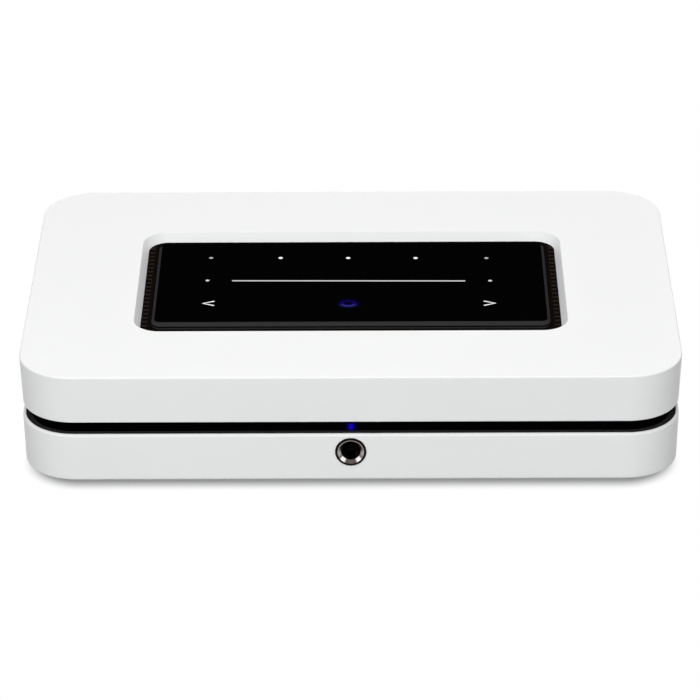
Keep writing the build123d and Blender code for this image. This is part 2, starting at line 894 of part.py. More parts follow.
def heat_sink():
    half = sink_size / 2
    low = board_high + processor_height
    x0, x1 = sink_x - half, sink_x + half
    y0, y1 = sink_y - half, sink_y + half
    sink = block(x0, x1, y0, y1, low, low + sink_base)
    pitch = (sink_size - sink_fin) / (sink_fins - 1)
    fins = [x0 + turn * pitch for turn in range(sink_fins)]
    high = low + sink_base + sink_fin_height
    return sink + group([block(x, x + sink_fin, y0, y1, low, high) for x in fins])


def converter_shield():
    high = board_high + shield_height
    shield = rounded_block(shield_width, shield_length, shield_corner, board_high, high, shield_x, shield_y)
    shield = chamfer(shield.edges().group_by(Axis.Z)[-1], shield_sheet)
    width, length = shield_width - 2 * shield_sheet, shield_length - 2 * shield_sheet
    corner = shield_corner - shield_sheet
    under = high - shield_sheet
    shield -= rounded_block(width, length, corner, board_high - overrun, under, shield_x, shield_y)
    pitch = shield_width / (shield_slots + 1)
    first = shield_x - pitch * (shield_slots - 1) / 2 - shield_slot_width / 2
    y0 = shield_y - shield_slot_length / 2
    low, above = under - overrun, high + overrun
    starts = [first + turn * pitch for turn in range(shield_slots)]
    slots = [block(x, x + shield_slot_width, y0, y0 + shield_slot_length, low, above) for x in starts]
    return shield - group(slots)


def wireless_module():
    middle = board_high + radio_board
    plate = rounded_block(radio_width, radio_length, radio_corner, board_high, middle, radio_x, radio_y)
    width, length = radio_width - 2 * radio_can_margin, radio_length - 2 * radio_can_margin
    can = rounded_block(width, length, radio_corner, middle, middle + radio_can_height, radio_x, radio_y)
    return plate + chamfer(can.edges().group_by(Axis.Z)[-1], shield_sheet)


# Two bent strips of sheet metal that stand on the board at the radio
def antennas():
    def strip(x):
        y0 = radio_y - aerial_length / 2
        high = board_high + aerial_height
        upright = [(y0, board_high), (y0 + aerial_foot, board_high), (y0 + aerial_foot, high - aerial_strip),
                   (y0 + aerial_length, high - aerial_strip), (y0 + aerial_length, high), (y0, high)]
        return across(upright, x, x + aerial_sheet)

    right = radio_x + radio_width / 2 + aerial_gap / 2
    left = radio_x - radio_width / 2 - aerial_gap
    return group([strip(left), strip(right)])


# Parts of the power supply
def fuse():
    waist = fuse_radius - fuse_step
    near, far = fuse_cap_length, fuse_length - fuse_cap_length
    front_cap = [(0, 0), (fuse_radius, 0), (fuse_radius, near), (waist, near)]
    rear_cap = [(waist, far), (fuse_radius, far), (fuse_radius, fuse_length), (0, fuse_length)]
    place = Pos(power_x, fuse_y - fuse_length / 2, board_high + fuse_radius + fit_gap)
    return place * turned(front_cap + rear_cap)


def filter_choke():
    ring = post(choke_radius, 0, 0, 0, choke_height)
    ring -= post(choke_bore, 0, 0, -overrun, choke_height + overrun)
    ring = chamfer(ring.edges().group_by(Axis.Z)[-1], choke_bevel)
    return Pos(power_x - choke_offset, filter_y, board_high) * ring


def filter_capacitor():
    half_x, half_y = filter_width / 2, filter_length / 2
    x = power_x + choke_offset
    high = board_high + filter_height
    body = block(x - half_x, x + half_x, filter_y - half_y, filter_y + half_y, board_high, high)
    return chamfer(body.edges().group_by(Axis.Z)[-1], filter_bevel)


def capacitor(radius, height):
    inner = radius - can_groove
    low, high = can_groove_low, can_groove_low + can_groove_height
    groove = [(radius, low), (inner, (low + high) / 2), (radius, high)]
    lid = [(radius, height - can_bevel), (radius - can_bevel, height), (0, height)]
    return turned_up([(0, 0), (radius, 0)] + groove + lid)


def bulk_capacitor():
    return Pos(power_x - bulk_offset, bulk_y, board_high) * capacitor(bulk_radius, bulk_height)


def output_capacitors():
    can = capacitor(output_radius, output_height)
    return group([Pos(power_x + side * output_offset, output_y, board_high) * can for side in (-1, 1)])


def power_transistor():
    x = power_x + transistor_offset
    y0, y1 = bulk_y - transistor_width / 2, bulk_y + transistor_width / 2
    low = board_high + transistor_low
    high = low + transistor_body_height
    side = transistor_body / 2
    body = block(x - side, x + side, y0, y1, low, high)
    tab = block(x + side - transistor_tab, x + side, y0, y1, low, high + transistor_tab_height)
    legs = []
    for turn in (-1, 0, 1):
        y = bulk_y + turn * transistor_width / 4
        half = transistor_tab / 2
        legs.append(block(x - half, x + half, y - half / 2, y + half / 2, board_high, low))
    return body + tab + group(legs)


def transformer_windows():
    window_width = (core_width - 2 * core_leg - core_center_leg) / 2
    low, high = board_high + core_leg, board_high + core_height - core_leg
    return window_width, low, high


def transformer_core():
    width, low, high = transformer_windows()
    y0, y1 = core_y - core_length / 2, core_y + core_length / 2
    half = core_width / 2
    core = block(power_x - half, power_x + half, y0, y1, board_high, board_high + core_height)
    for side in (-1, 1):
        x = power_x + side * (core_center_leg + width) / 2
        core -= block(x - width / 2, x + width / 2, y0 - overrun, y1 + overrun, low, high)
    return core


def transformer_winding():
    width, low, high = transformer_windows()
    outer_width = core_center_leg + 2 * width - 2 * part_gap
    coil = rounded_block(outer_width, winding_length, winding_round, low, high, power_x, core_y)
    hole_width, hole_length = core_center_leg + 2 * fit_gap, core_length + 2 * fit_gap
    x0, y0 = power_x - hole_width / 2, core_y - hole_length / 2
    return coil - block(x0, x0 + hole_width, y0, y0 + hole_length, low - overrun, high + overrun)


def board_link():
    x = (power_right + main_left) / 2
    half_x, half_y = link_width / 2, link_length / 2
    high = board_high + link_height
    body = block(x - half_x, x + half_x, link_y - half_y, link_y + half_y, board_high, high)
    return fillet(body.edges().filter_by(Axis.Z), link_round)


# Rear panel: a tray set into both shells, with a hole for every socket
def rear_panel():
    def through(outline_width, outline_height, corner, x, z):
        width, height = outline_width + 2 * loose_gap, outline_height + 2 * loose_gap
        return window(width, height, corner, x, z, row_y - overrun, panel_y + overrun)

    tray = window(panel_width, panel_height, panel_corner, 0, panel_z, panel_y - panel_thickness, tray_y)
    flange_back = lower_depth / 2 - lower_skin - loose_gap
    flange_front = flange_back - tray_flange
    half = panel_width / 2 + tray_flange_reach
    flange_high = panel_bottom + panel_height + tray_flange_reach
    tray += block(-half, half, flange_front, flange_back, floor_high, flange_high)
    inner_width, inner_height = panel_width - 2 * tray_wall, panel_height - 2 * tray_wall
    tray -= window(inner_width, inner_height, panel_corner - tray_wall, 0, panel_z, panel_y, case_depth)
    cuts = [through(mains_width, mains_height, mains_corner, mains_x, mains_z)]
    cuts.append(through(lan_width, lan_height, lan_sheet, lan_x, board_high + lan_height / 2))
    cuts.append(through(usb_width, usb_height, usb_corner, usb_x, board_high + usb_height / 2))
    cuts.append(through(hdmi_width, hdmi_height, hdmi_sheet, hdmi_x, board_high + hdmi_height / 2))
    cuts.append(through(optical_width, optical_height, lan_sheet, optical_x, board_high + optical_height / 2))
    for x in rca_places:
        cuts.append(barrel(rca_ring_radius + loose_gap, x, rca_z, row_y - overrun, panel_y + overrun))
    for x in mini_places:
        cuts.append(barrel(mini_barrel + loose_gap, x, mini_z, row_y - overrun, panel_y + overrun))
    return tray - group(cuts)


# Mains inlet with its figure-of-eight recess
def mains_inlet_body():
    front = socket_y - mains_length
    body = window(mains_width, mains_height, mains_corner, mains_x, mains_z, front, socket_y)
    floor_y = socket_y - mains_recess
    half = mains_pin_pitch / 2
    for side in (-half, half):
        body -= barrel(mains_lobe, mains_x + side, mains_z, floor_y, socket_y + overrun)
    low, high = mains_z - mains_waist / 2, mains_z + mains_waist / 2
    return body - block(mains_x - half, mains_x + half, floor_y, socket_y + overrun, low, high)


def mains_inlet_pins():
    floor_y = socket_y - mains_recess
    pins = []
    for side in (-1, 1):
        x = mains_x + side * mains_pin_pitch / 2
        pin = barrel(mains_pin_radius, x, mains_z, floor_y, floor_y + mains_pin_length)
        pins.append(chamfer(pin.edges().group_by(Axis.Y)[-1], mains_pin_bevel))
    return group(pins)


# Network socket: sheet shell, insert with a latch notch, and eight spring wires
def lan_shell():
    half = lan_width / 2
    back = socket_y - lan_length
    shell = block(lan_x - half, lan_x + half, back, socket_y, board_high, board_high + lan_height)
    inner = half - lan_sheet
    z0, z1 = board_high + lan_sheet, board_high + lan_height - lan_sheet
    return shell - block(lan_x - inner, lan_x + inner, back + lan_sheet, socket_y + overrun, z0, z1)


def lan_mouth_levels():
    low = board_high + lan_mouth_low
    return low, low + lan_mouth_height


def lan_insert():
    half = lan_width / 2 - lan_sheet - fit_gap
    back = socket_y - lan_length + lan_sheet
    front = socket_y - lan_sheet
    z0, z1 = board_high + lan_sheet, board_high + lan_height - lan_sheet - fit_gap
    body = block(lan_x - half, lan_x + half, back, front, z0, z1)
    low, high = lan_mouth_levels()
    mouth, latch = lan_mouth_width / 2, lan_latch_width / 2
    mouth_back = front - lan_mouth_length
    past = front + overrun
    body -= block(lan_x - mouth, lan_x + mouth, mouth_back, past, low, high)
    return body - block(lan_x - latch, lan_x + latch, mouth_back, past, low - lan_latch_height, low)


def lan_contacts():
    high = lan_mouth_levels()[1]
    y0 = socket_y - lan_sheet - lan_wire_start
    y1 = y0 - lan_wire_run
    low = high - lan_wire_drop
    points = [(y0, high), (y0 - lan_wire, high), (y1, low), (y1, low - lan_wire), (y0, high - lan_wire)]
    first = lan_x - lan_wire_pitch * (lan_wires - 1) / 2 - lan_wire / 2
    starts = [first + turn * lan_wire_pitch for turn in range(lan_wires)]
    return group([across(points, x, x + lan_wire) for x in starts])


# USB socket
def usb_shell():
    z = board_high + usb_height / 2
    back = socket_y - usb_length
    shell = window(usb_width, usb_height, usb_corner, usb_x, z, back, socket_y)
    width, height = usb_width - 2 * usb_sheet, usb_height - 2 * usb_sheet
    corner = usb_corner - usb_sheet
    return shell - window(width, height, corner, usb_x, z, back - overrun, socket_y + overrun)


def usb_tongue():
    z = board_high + usb_height / 2
    back = socket_y - usb_length
    width, height = usb_width - 2 * (usb_sheet + fit_gap), usb_height - 2 * (usb_sheet + fit_gap)
    plug = window(width, height, usb_corner - usb_sheet, usb_x, z, back, back + usb_back)
    half = usb_tongue_width / 2
    low = board_high + usb_tongue_low
    y1 = back + usb_back + usb_tongue_length
    return plug + block(usb_x - half, usb_x + half, back, y1, low, low + usb_tongue_height)


# HDMI socket: a shell with drawn-in shoulders
def hdmi_outline(inset):
    half, high = hdmi_width / 2 - inset, hdmi_height - inset
    foot = half - hdmi_shoulder
    left = [(-half, high), (-half, hdmi_side), (-foot, inset)]
    right = [(foot, inset), (half, hdmi_side), (half, high)]
    return Polygon(*left, *right, align=None)


def hdmi_shell():
    back = socket_y - hdmi_length
    shell = carried(hdmi_outline(0), hdmi_x, board_high, back, socket_y)
    return shell - carried(hdmi_outline(hdmi_sheet), hdmi_x, board_high, back - overrun, socket_y + overrun)


def hdmi_tongue():
    back = socket_y - hdmi_length
    plug = carried(hdmi_outline(hdmi_sheet + fit_gap), hdmi_x, board_high, back, back + hdmi_back)
    half = hdmi_tongue_width / 2
    middle = board_high + hdmi_height / 2 + hdmi_sheet
    low, high = middle - hdmi_tongue_height / 2, middle + hdmi_tongue_height / 2
    return plug + block(hdmi_x - half, hdmi_x + half, back, back + hdmi_back + hdmi_tongue_length, low, high)


# Optical output: body with a keyed mouth, and the sprung flap that hangs behind it
def optical_body():
    half = optical_width / 2
    back = socket_y - optical_length
    body = block(optical_x - half, optical_x + half, back, socket_y, board_high, board_high + optical_height)
    inner = cavity_width / 2
    rim_back = socket_y - optical_rim
    cavity_high = board_high + optical_height - optical_roof
    body -= block(optical_x - inner, optical_x + inner, cavity_back, rim_back, cavity_low, cavity_high)
    mouth, cut = optical_mouth / 2, optical_mouth_cut
    left = [(-mouth, mouth_high), (-mouth, mouth_low + cut), (cut - mouth, mouth_low)]
    right = [(mouth - cut, mouth_low), (mouth, mouth_low + cut), (mouth, mouth_high)]
    outline = Polygon(*left, *right, align=None)
    body -= carried(outline, optical_x, 0, rim_back - overrun, socket_y + overrun)
    hole = flap_pin + screw_gap
    pin_hole = Pos(optical_x, flap_y, flap_z) * Rot(0, 90, 0) * Cylinder(hole, optical_width + 2 * overrun)
    return body - pin_hole


def optical_flap():
    half = cavity_width / 2 - flap_side_gap
    front = flap_y + flap_knuckle - screw_gap
    plate = block(optical_x - half, optical_x + half, front - flap_thickness, front, flap_low, flap_z)
    along = Pos(optical_x, flap_y, flap_z) * Rot(0, 90, 0)
    knuckle = along * Cylinder(flap_knuckle, 2 * half)
    pin = along * Cylinder(flap_pin, 2 * (half + flap_side_gap + flap_pin_length))
    return plate + knuckle + pin


def optical_emitter():
    z = (mouth_low + mouth_high) / 2
    return barrel(emitter_radius, optical_x, z, cavity_back, cavity_back + emitter_length)


# Phono sockets: black body, coloured insulator, bright sleeve and centre contact
def rca_bodies():
    def body(x):
        half = rca_body_width / 2
        lower = block(x - half, x + half, row_y - rca_body_length, row_y, board_high, rca_z)
        return lower + barrel(half, x, rca_z, row_y - rca_body_length, row_y)

    return group([body(x) for x in rca_places])


def rca_ring_y():
    return panel_y + rca_ring_stand


def rca_insulator(turn):
    core = rca_sleeve_radius - rca_sleeve_wall - screw_gap
    bore = rca_contact_radius + screw_gap
    ring = rca_ring_y()
    tip = ring + rca_sleeve_length - rca_core_sink
    flange = [(bore, row_y), (rca_ring_radius, row_y), (rca_ring_radius, ring)]
    return Pos(rca_places[turn], 0, rca_z) * turned(flange + [(core, ring), (core, tip), (bore, tip)])


def rca_sleeves():
    ring = rca_ring_y()
    inner, outer = rca_sleeve_radius - rca_sleeve_wall, rca_sleeve_radius
    tip = ring + rca_sleeve_length
    bevel = rca_sleeve_wall / 2
    points = [(inner, ring), (outer, ring), (outer, tip - bevel), (outer - bevel, tip), (inner, tip)]
    return group([Pos(x, 0, rca_z) * turned(points) for x in rca_places])


def rca_contacts():
    tip = rca_ring_y() + rca_sleeve_length - rca_contact_sink
    inner, outer = rca_contact_bore, rca_contact_radius
    points = [(inner, row_y), (outer, row_y), (outer, tip), (inner, tip)]
    return group([Pos(x, 0, rca_z) * turned(points) for x in rca_places])


# Small 3.5 mm sockets
def mini_sockets():
    def body(x):
        half = mini_width / 2
        housing = block(x - half, x + half, row_y - mini_length, row_y, board_high, board_high + mini_height)
        housing = fillet(housing.edges().group_by(Axis.Z)[-1].filter_by(Axis.Y), mini_width / 8)
        housing += barrel(mini_barrel, x, mini_z, row_y, socket_y)
        return housing - barrel(mini_bore, x, mini_z, socket_y - mini_bore_length, socket_y + overrun)

    return group([body(x) for x in mini_places])


# Fasteners and feet
def board_screws():
    piece = screw(board_screw_radius, board_screw_length, board_head_radius, board_head_height)
    placed = [Pos(x, y, board_high) * piece for x, y in board_places()]
    placed += [Pos(x, y, front_board_high) * piece for x, y in front_places()]
    return group(placed)


def trim_screws():
    length = board_screw_length * trim_screw_share - screw_gap
    piece = Rot(180, 0, 0) * screw(board_screw_radius, length, board_head_radius, board_head_height)
    return group([Pos(x, y, recess_floor - vent_plate) * piece for x, y in trim_places()])


def case_screws():
    piece = Rot(180, 0, 0) * screw(case_screw_radius, case_screw_length, case_head_radius, case_head_height)
    return group([Pos(x, y, foot_stand + head_recess) * piece for x, y in lug_places])


def foot_places():
    x, y = foot_x_share * case_width / 2, foot_y_share * case_depth / 2
    return [(sx * x, sy * y) for sx in (-1, 1) for sy in (-1, 1)]


def rubber_feet():
    foot = post(foot_radius, 0, 0, 0, foot_stand + foot_sink)
    foot = chamfer(foot.edges().group_by(Axis.Z)[0], foot_bevel)
    return group([Pos(x, y, 0) * foot for x, y in foot_places()])


pieces = {
    "upper_shell": upper_shell(),
    "lower_shell": lower_shell(),
    "middle_frame": middle_frame(),
    "vent_frame": vent_frame(),
    "touch_glass": touch_glass(),
    "glass_gasket": glass_gasket(),
    "icon_light_mask": icon_light_mask(),
    "touch_board": touch_board(),
    "icon_lights": icon_lights(),
    "touch_ribbon": touch_ribbon(),
    "ribbon_connectors": ribbon_connectors(),
    "status_light_pipe": status_light_pipe(),
    "status_light": status_light(),
    "infrared_receiver": infrared_receiver(),
    "front_board": front_board(),
    "headphone_bezel": headphone_bezel(),
    "headphone_collar": headphone_collar(),
    "headphone_body": headphone_body(),
    "headphone_contacts": headphone_contacts(),
    "main_board": main_board(),
    "processor_and_memory": processor_and_memory(),
    "heat_sink": heat_sink(),
    "converter_shield": converter_shield(),
    "wireless_module": wireless_module(),
    "antennas": antennas(),
    "power_board": power_board(),
    "insulating_sheet": insulating_sheet(),
    "fuse": fuse(),
    "filter_choke": filter_choke(),
    "filter_capacitor": filter_capacitor(),
    "bulk_capacitor": bulk_capacitor(),
    "output_capacitors": output_capacitors(),
    "power_transistor": power_transistor(),
    "transformer_core": transformer_core(),
    "transformer_winding": transformer_winding(),
    "board_link": board_link(),
    "rear_panel": rear_panel(),
    "mains_inlet_body": mains_inlet_body(),
    "mains_inlet_pins": mains_inlet_pins(),
    "lan_shell": lan_shell(),
    "lan_insert": lan_insert(),
    "lan_contacts": lan_contacts(),
    "usb_shell": usb_shell(),
    "usb_tongue": usb_tongue(),
    "hdmi_shell": hdmi_shell(),
    "hdmi_tongue": hdmi_tongue(),
    "optical_body": optical_body(),
    "optical_flap": optical_flap(),
    "optical_emitter": optical_emitter(),
    "rca_bodies": rca_bodies(),
    "rca_insulator_digital": rca_insulator(0),
    "rca_insulator_subwoofer": rca_insulator(1),
    "rca_insulator_left": rca_insulator(2),
    "rca_insulator_right": rca_insulator(3),
    "rca_sleeves": rca_sleeves(),
    "rca_contacts": rca_contacts(),
    "mini_sockets": mini_sockets(),
    "small_screws": group([board_screws(), trim_screws()]),
    "case_screws": case_screws(),
    "rubber_feet": rubber_feet(),
}

os.makedirs("parts", exist_ok=True)
for name, piece in pieces.items():
    export_step(piece, f"parts/{name}.step")
print(len(pieces), "pieces; case", case_width, case_depth, round(case_top, 3))
print("flap axis", round(optical_x, 3), round(flap_y, 3), round(flap_z, 3))
print("sockets", [round(x, 3) for x in (mains_x, lan_x, usb_x, hdmi_x, optical_x, *rca_places, *mini_places)])
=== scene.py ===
import json
import math

import bmesh
import bpy
import numpy as np
from mathutils import Matrix, Vector
from mathutils.geometry import convex_hull_2d


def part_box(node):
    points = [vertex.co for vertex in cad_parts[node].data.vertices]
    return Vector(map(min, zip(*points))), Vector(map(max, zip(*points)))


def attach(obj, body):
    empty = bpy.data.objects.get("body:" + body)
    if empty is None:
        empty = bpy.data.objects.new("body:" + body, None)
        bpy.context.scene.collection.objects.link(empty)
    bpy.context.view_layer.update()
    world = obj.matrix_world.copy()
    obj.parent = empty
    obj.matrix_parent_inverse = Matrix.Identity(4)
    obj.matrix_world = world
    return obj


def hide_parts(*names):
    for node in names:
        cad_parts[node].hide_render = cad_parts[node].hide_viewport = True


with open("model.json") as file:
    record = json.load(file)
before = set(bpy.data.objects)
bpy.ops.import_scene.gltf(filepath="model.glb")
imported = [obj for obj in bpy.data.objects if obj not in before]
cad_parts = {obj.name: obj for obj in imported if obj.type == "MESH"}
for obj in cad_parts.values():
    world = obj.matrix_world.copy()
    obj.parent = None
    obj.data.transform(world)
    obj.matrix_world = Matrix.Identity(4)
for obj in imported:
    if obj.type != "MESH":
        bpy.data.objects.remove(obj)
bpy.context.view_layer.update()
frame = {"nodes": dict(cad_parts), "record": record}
print("stage: frame loaded")

mm = 0.001
smoothAngle = math.radians(32)
cornerSteps = 20  # points on each rounded corner of a ring
turnSteps = 72  # points round a turned piece


def level(node, end):
    # height in millimetres of a CAD node's underside (0) or top (1)
    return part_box(node)[end][2] / mm


def boxOf(node):
    # lowest corner, middle and highest corner of a CAD node in millimetres
    low, high = (np.array(corner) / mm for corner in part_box(node))
    return low, (low + high) / 2, high


# Sizes in millimetres of what a user would change; the levels come from the frame
case = {"width": 219.99, "depth": 145.99, "corner": 18.5, "wall": 2.9, "draw": 0.7, "topRound": 0.55, "lowRound": 0.35,
        "low": level("upper_shell", 0), "high": level("upper_shell", 1), "lid": 2.4, "flat": 6}
recess = {"width": 146.6, "depth": 78.0, "corner": 9.0, "draw": 2.0, "floor": level("vent_frame", 1), "wall": 1.8,
          "round": 0.45}
tub = {"width": 219.2, "depth": 145.2, "corner": 18.1, "draw": 0.4, "low": level("lower_shell", 0),
       "high": level("lower_shell", 1), "topRound": 0.8, "lowRound": 1.0, "wall": 2.6, "floor": 2.5, "rebate": 1.0,
       "flat": 30}
channel = {"inset": 3.2, "thickness": 2.0, "ledge": 1.1, "flange": 1.4, "low": level("middle_frame", 0),
           "high": level("middle_frame", 1), "lip": 0.8, "sink": 0.2, "bevel": 0.25, "round": 0.2}
channelGap = {"width": 183.6, "depth": 30, "y": 76, "low": 10, "high": 30}  # where the rear panel stands
glass = {"width": 135.0, "depth": 63.6, "corner": 3.2, "low": level("touch_glass", 0), "high": level("touch_glass", 1),
         "bevel": 1.0, "edge": 0.16, "line": (0.28, 0.62)}
vents = {"low": 69.2, "high": 70.8}  # the ribs lie between these distances from the middle
pipe = {"high": level("status_light_pipe", 1), "middle": 21.3, "halo": 1.25, "haloLevel": 0.22, "colour": (16, 2, 184),
        "width": 1.75, "y": -70, "length": 8, "slack": 0.05}
signRing = {"x": -0.9, "y": -16.95, "radius": 2.25, "width": 0.5, "halo": 1.3, "haloShare": 0.35, "squash": 1.2,
            "reach": 5.0, "far": (15, 2, 84), "near": (46, 44, 126)}
jack = {"z": 13.25, "front": -72.9, "back": -69.9, "throat": 3.225, "mouth": 4.15, "collar": 4.35, "bezel": 5.125,
        "flare": 0.9, "length": 7.0, "sink": 0.15, "slack": 0.1, "cut": (-80, -60)}
panel = {"width": 180.0, "high": 32.0, "low": 7.5, "corner": 4.0, "y": 63.48, "back": 75, "gap": 0.15}
# the photo's camera, in pixels, degrees and millimetres
photo = {"width": 700, "focal": 3772.2, "pitch": 27.034, "yaw": -0.4156, "roll": -0.3748, "distance": 1312.49,
         "target": (-0.558, 0.0, 14.084)}
# lamps in watts, their sizes in metres, and the floor with the fade of its shadow
light = {"world": 0.17, "top": 7.0, "front": 16.8, "frontColour": (0.965, 0.985, 1.0), "rear": 7.0, "size": 0.9,
         "frontSize": 0.8, "floor": 0.45, "floorSize": 5200, "lift": 0.22, "fadeFrom": 13.6, "fadeTo": 21.0,
         "side": -1.5}


# Meshes: rings of rounded rectangles, turned profiles, prisms

def roundedProfile(corners):
    # each corner is (inset, z, round); a rounded one becomes an arc that touches both its sides
    flat = []
    for turn, (x, z, radius) in enumerate(corners):
        here = np.array((x, z))
        if radius <= 0 or turn in (0, len(corners) - 1):
            flat.append(here)
            continue
        before = np.array(corners[turn - 1][:2]) - here
        after = np.array(corners[turn + 1][:2]) - here
        before = before / np.linalg.norm(before)
        after = after / np.linalg.norm(after)
        half = math.acos(np.clip(before @ after, -1, 1)) / 2
        reach = radius / math.tan(half)
        centre = here + (before + after) / np.linalg.norm(before + after) * radius / math.sin(half)
        first, last = here + before * reach - centre, here + after * reach - centre
        angle = math.atan2(first[0] * last[1] - first[1] * last[0], first @ last)
        for share in np.linspace(0, 1, 7):
            c, s = math.cos(angle * share), math.sin(angle * share)
            flat.append(centre + np.array((c * first[0] - s * first[1], s * first[0] + c * first[1])))
    return flat


def outlineRows(outline, corners):
    # a profile point becomes the half width, half depth, corner radius and height of one ring
    halfWidth, halfDepth, corner = outline["width"] / 2, outline["depth"] / 2, outline["corner"]
    return [(halfWidth - x, halfDepth - x, max(corner - x, 0.05), z) for x, z in roundedProfile(corners)]


def cornerTurns(steps):
    # angle and the signs of x and y for the points of four rounded corners
    angle = np.concatenate([np.linspace(turn, turn + 1, steps + 1) for turn in range(4)]) * math.pi / 2
    return angle, np.repeat((1, -1, -1, 1), steps + 1), np.repeat((1, 1, -1, -1), steps + 1)


def ringMesh(rows, closed, axis="z", centre=(0.0, 0.0)):
    # ring point: corner centre (+-(halfWidth - r), +-(halfDepth - r)) plus r times (cos a, sin a), at height z;
    # for axis y the ring stands upright at the depth that its row gives
    rows = np.array(rows)
    angle, signX, signY = cornerTurns(cornerSteps)
    halfWidth, halfDepth, radius, z = (rows[:, turn, None] for turn in range(4))
    x = signX * (halfWidth - radius) + radius * np.cos(angle) + centre[0]
    y = signY * (halfDepth - radius) + radius * np.sin(angle) + centre[1]
    return joinRows(np.stack([x, z + 0 * x, y] if axis == "y" else [x, y, z + 0 * x], 2), closed)


def joinRows(points, closed):
    # neighbouring rows are joined by four-sided faces; an open stack gets a lid at each end
    rows, around = points.shape[:2]
    low = np.arange(rows if closed else rows - 1)[:, None] * around
    here = np.arange(around)[None, :]
    following = (here + 1) % around
    above = (low + around) % (rows * around)
    faces = np.stack([low + here, low + following, above + following, above + here], 2).reshape(-1, 4).tolist()
    if not closed:
        faces.append(list(range(around))[::-1])
        faces.append(list(range((rows - 1) * around, rows * around)))
    return points.reshape(-1, 3), faces


def turnedMesh(corners, axis, place, closed=True, steps=turnSteps):
    # profile (radius, along) goes round the axis: (r cos a, r sin a) across it, along it unchanged
    flat = np.array(roundedProfile(corners))
    angle = np.linspace(0, 2 * math.pi, steps, endpoint=False)[None, :]
    radius, along = flat[:, 0, None], flat[:, 1, None] + 0 * angle
    across, up = radius * np.cos(angle) + place[0], radius * np.sin(angle) + place[1]
    return joinRows(np.stack([across, along, up] if axis == "y" else [across, up, along], 2), closed)


def rod(radius, spot, low, high, steps=40, axis="z"):
    # a plain cylinder, upright or from front to back
    return turnedMesh([(radius, low, 0), (radius, high, 0)], axis, spot[:2], False, steps)


def prismMesh(outline, low, high, axis="z"):
    # a flat outline (x, y) between two heights, or (x, z) between two depths
    outline = np.array(outline, float)
    ends = np.array((low, high))[:, None] + 0 * outline[None, :, 0]
    first, second = outline[None, :, 0] + 0 * ends, outline[None, :, 1] + 0 * ends
    return joinRows(np.stack([first, second, ends] if axis == "z" else [first, ends, second], 2), False)


def threadMesh(core, crest, pitch, low, high, x, y):
    # radius = core + (crest - core) * |2 frac(z / pitch - a / 2 pi) - 1|, pinched to a point at the upper end
    z = np.linspace(low, high, int((high - low) / pitch * 8))[:, None]
    angle = np.linspace(0, 2 * math.pi, 28, endpoint=False)[None, :]
    wave = np.abs(2 * np.mod(z / pitch - angle / (2 * math.pi), 1) - 1)
    tip = np.clip((high - z) / (1.2 * crest), 0.25, 1)
    radius = (core + (crest - core) * wave) * tip
    return joinRows(np.stack([radius * np.cos(angle) + x, radius * np.sin(angle) + y, z + 0 * angle], 2), False)


def coilMesh(centre, ring, half, turns, wire):
    # centre line: ((ring + half cos(n t)) cos t, (ring + half cos(n t)) sin t, rise sin(n t)),
    # with a tube of the wire's radius round it
    t = np.linspace(0, 2 * math.pi, turns * 20, endpoint=False)
    reach = ring + half[0] * np.cos(turns * t)
    line = np.stack([reach * np.cos(t), reach * np.sin(t), half[1] * np.sin(turns * t)], 1)
    ahead = np.roll(line, -1, 0) - np.roll(line, 1, 0)
    ahead /= np.linalg.norm(ahead, axis=1)[:, None]
    out = line - np.stack([ring * np.cos(t), ring * np.sin(t), 0 * t], 1)
    out -= ahead * (out * ahead).sum(1)[:, None]
    out /= np.linalg.norm(out, axis=1)[:, None]
    side = np.cross(ahead, out)
    angle = np.linspace(0, 2 * math.pi, 8, endpoint=False)[None, :, None]
    tube = wire * (np.cos(angle) * out[:, None] + np.sin(angle) * side[:, None])
    return joinRows(line[:, None] + tube + np.array(centre), True)


def islands(node):
    # middle and size in millimetres of each loose solid of a CAD node
    shape = bmesh.new()
    shape.from_mesh(frame["nodes"][node].data)
    bmesh.ops.remove_doubles(shape, verts=shape.verts[:], dist=1e-6)
    waiting, found = set(shape.verts), []
    while waiting:
        edge, members = [waiting.pop()], []
        while edge:
            here = edge.pop()
            members.append(here.co[:])
            near = {link.other_vert(here) for link in here.link_edges} & waiting
            waiting -= near
            edge += near
        spots = np.array(members)
        found.append(((spots.min(0) + spots.max(0)) / 2 / mm, (spots.max(0) - spots.min(0)) / mm))
    shape.free()
    return sorted(found, key=lambda item: (round(item[0][0], 2), round(item[0][1], 2)))


def boxOutline(width, height, corner, x=0.0, y=0.0, steps=8):
    # rounded rectangle round (x, y): corner centre (+-(width / 2 - r), +-(height / 2 - r)) plus r (cos a, sin a)
    angle, signX, signY = cornerTurns(steps)
    px = signX * (width / 2 - corner) + corner * np.cos(angle) + x
    py = signY * (height / 2 - corner) + corner * np.sin(angle) + y
    return np.stack([px, py], 1)


def rawObject(name, meshes):
    # all the meshes in one object in metres, with their faces turned outwards
    points, faces, count = [], [], 0
    for spots, sides in meshes:
        points.append(spots)
        faces += [[corner + count for corner in side] for side in sides]
        count += len(spots)
    data = bpy.data.meshes.new(name)
    data.from_pydata((np.concatenate(points) * mm).tolist(), [], faces)
    data.validate()
    piece = bpy.data.objects.new(name, data)
    bpy.context.scene.collection.objects.link(piece)
    shape = bmesh.new()
    shape.from_mesh(data)
    bmesh.ops.recalc_face_normals(shape, faces=shape.faces[:])
    shape.to_mesh(data)
    shape.free()
    return piece


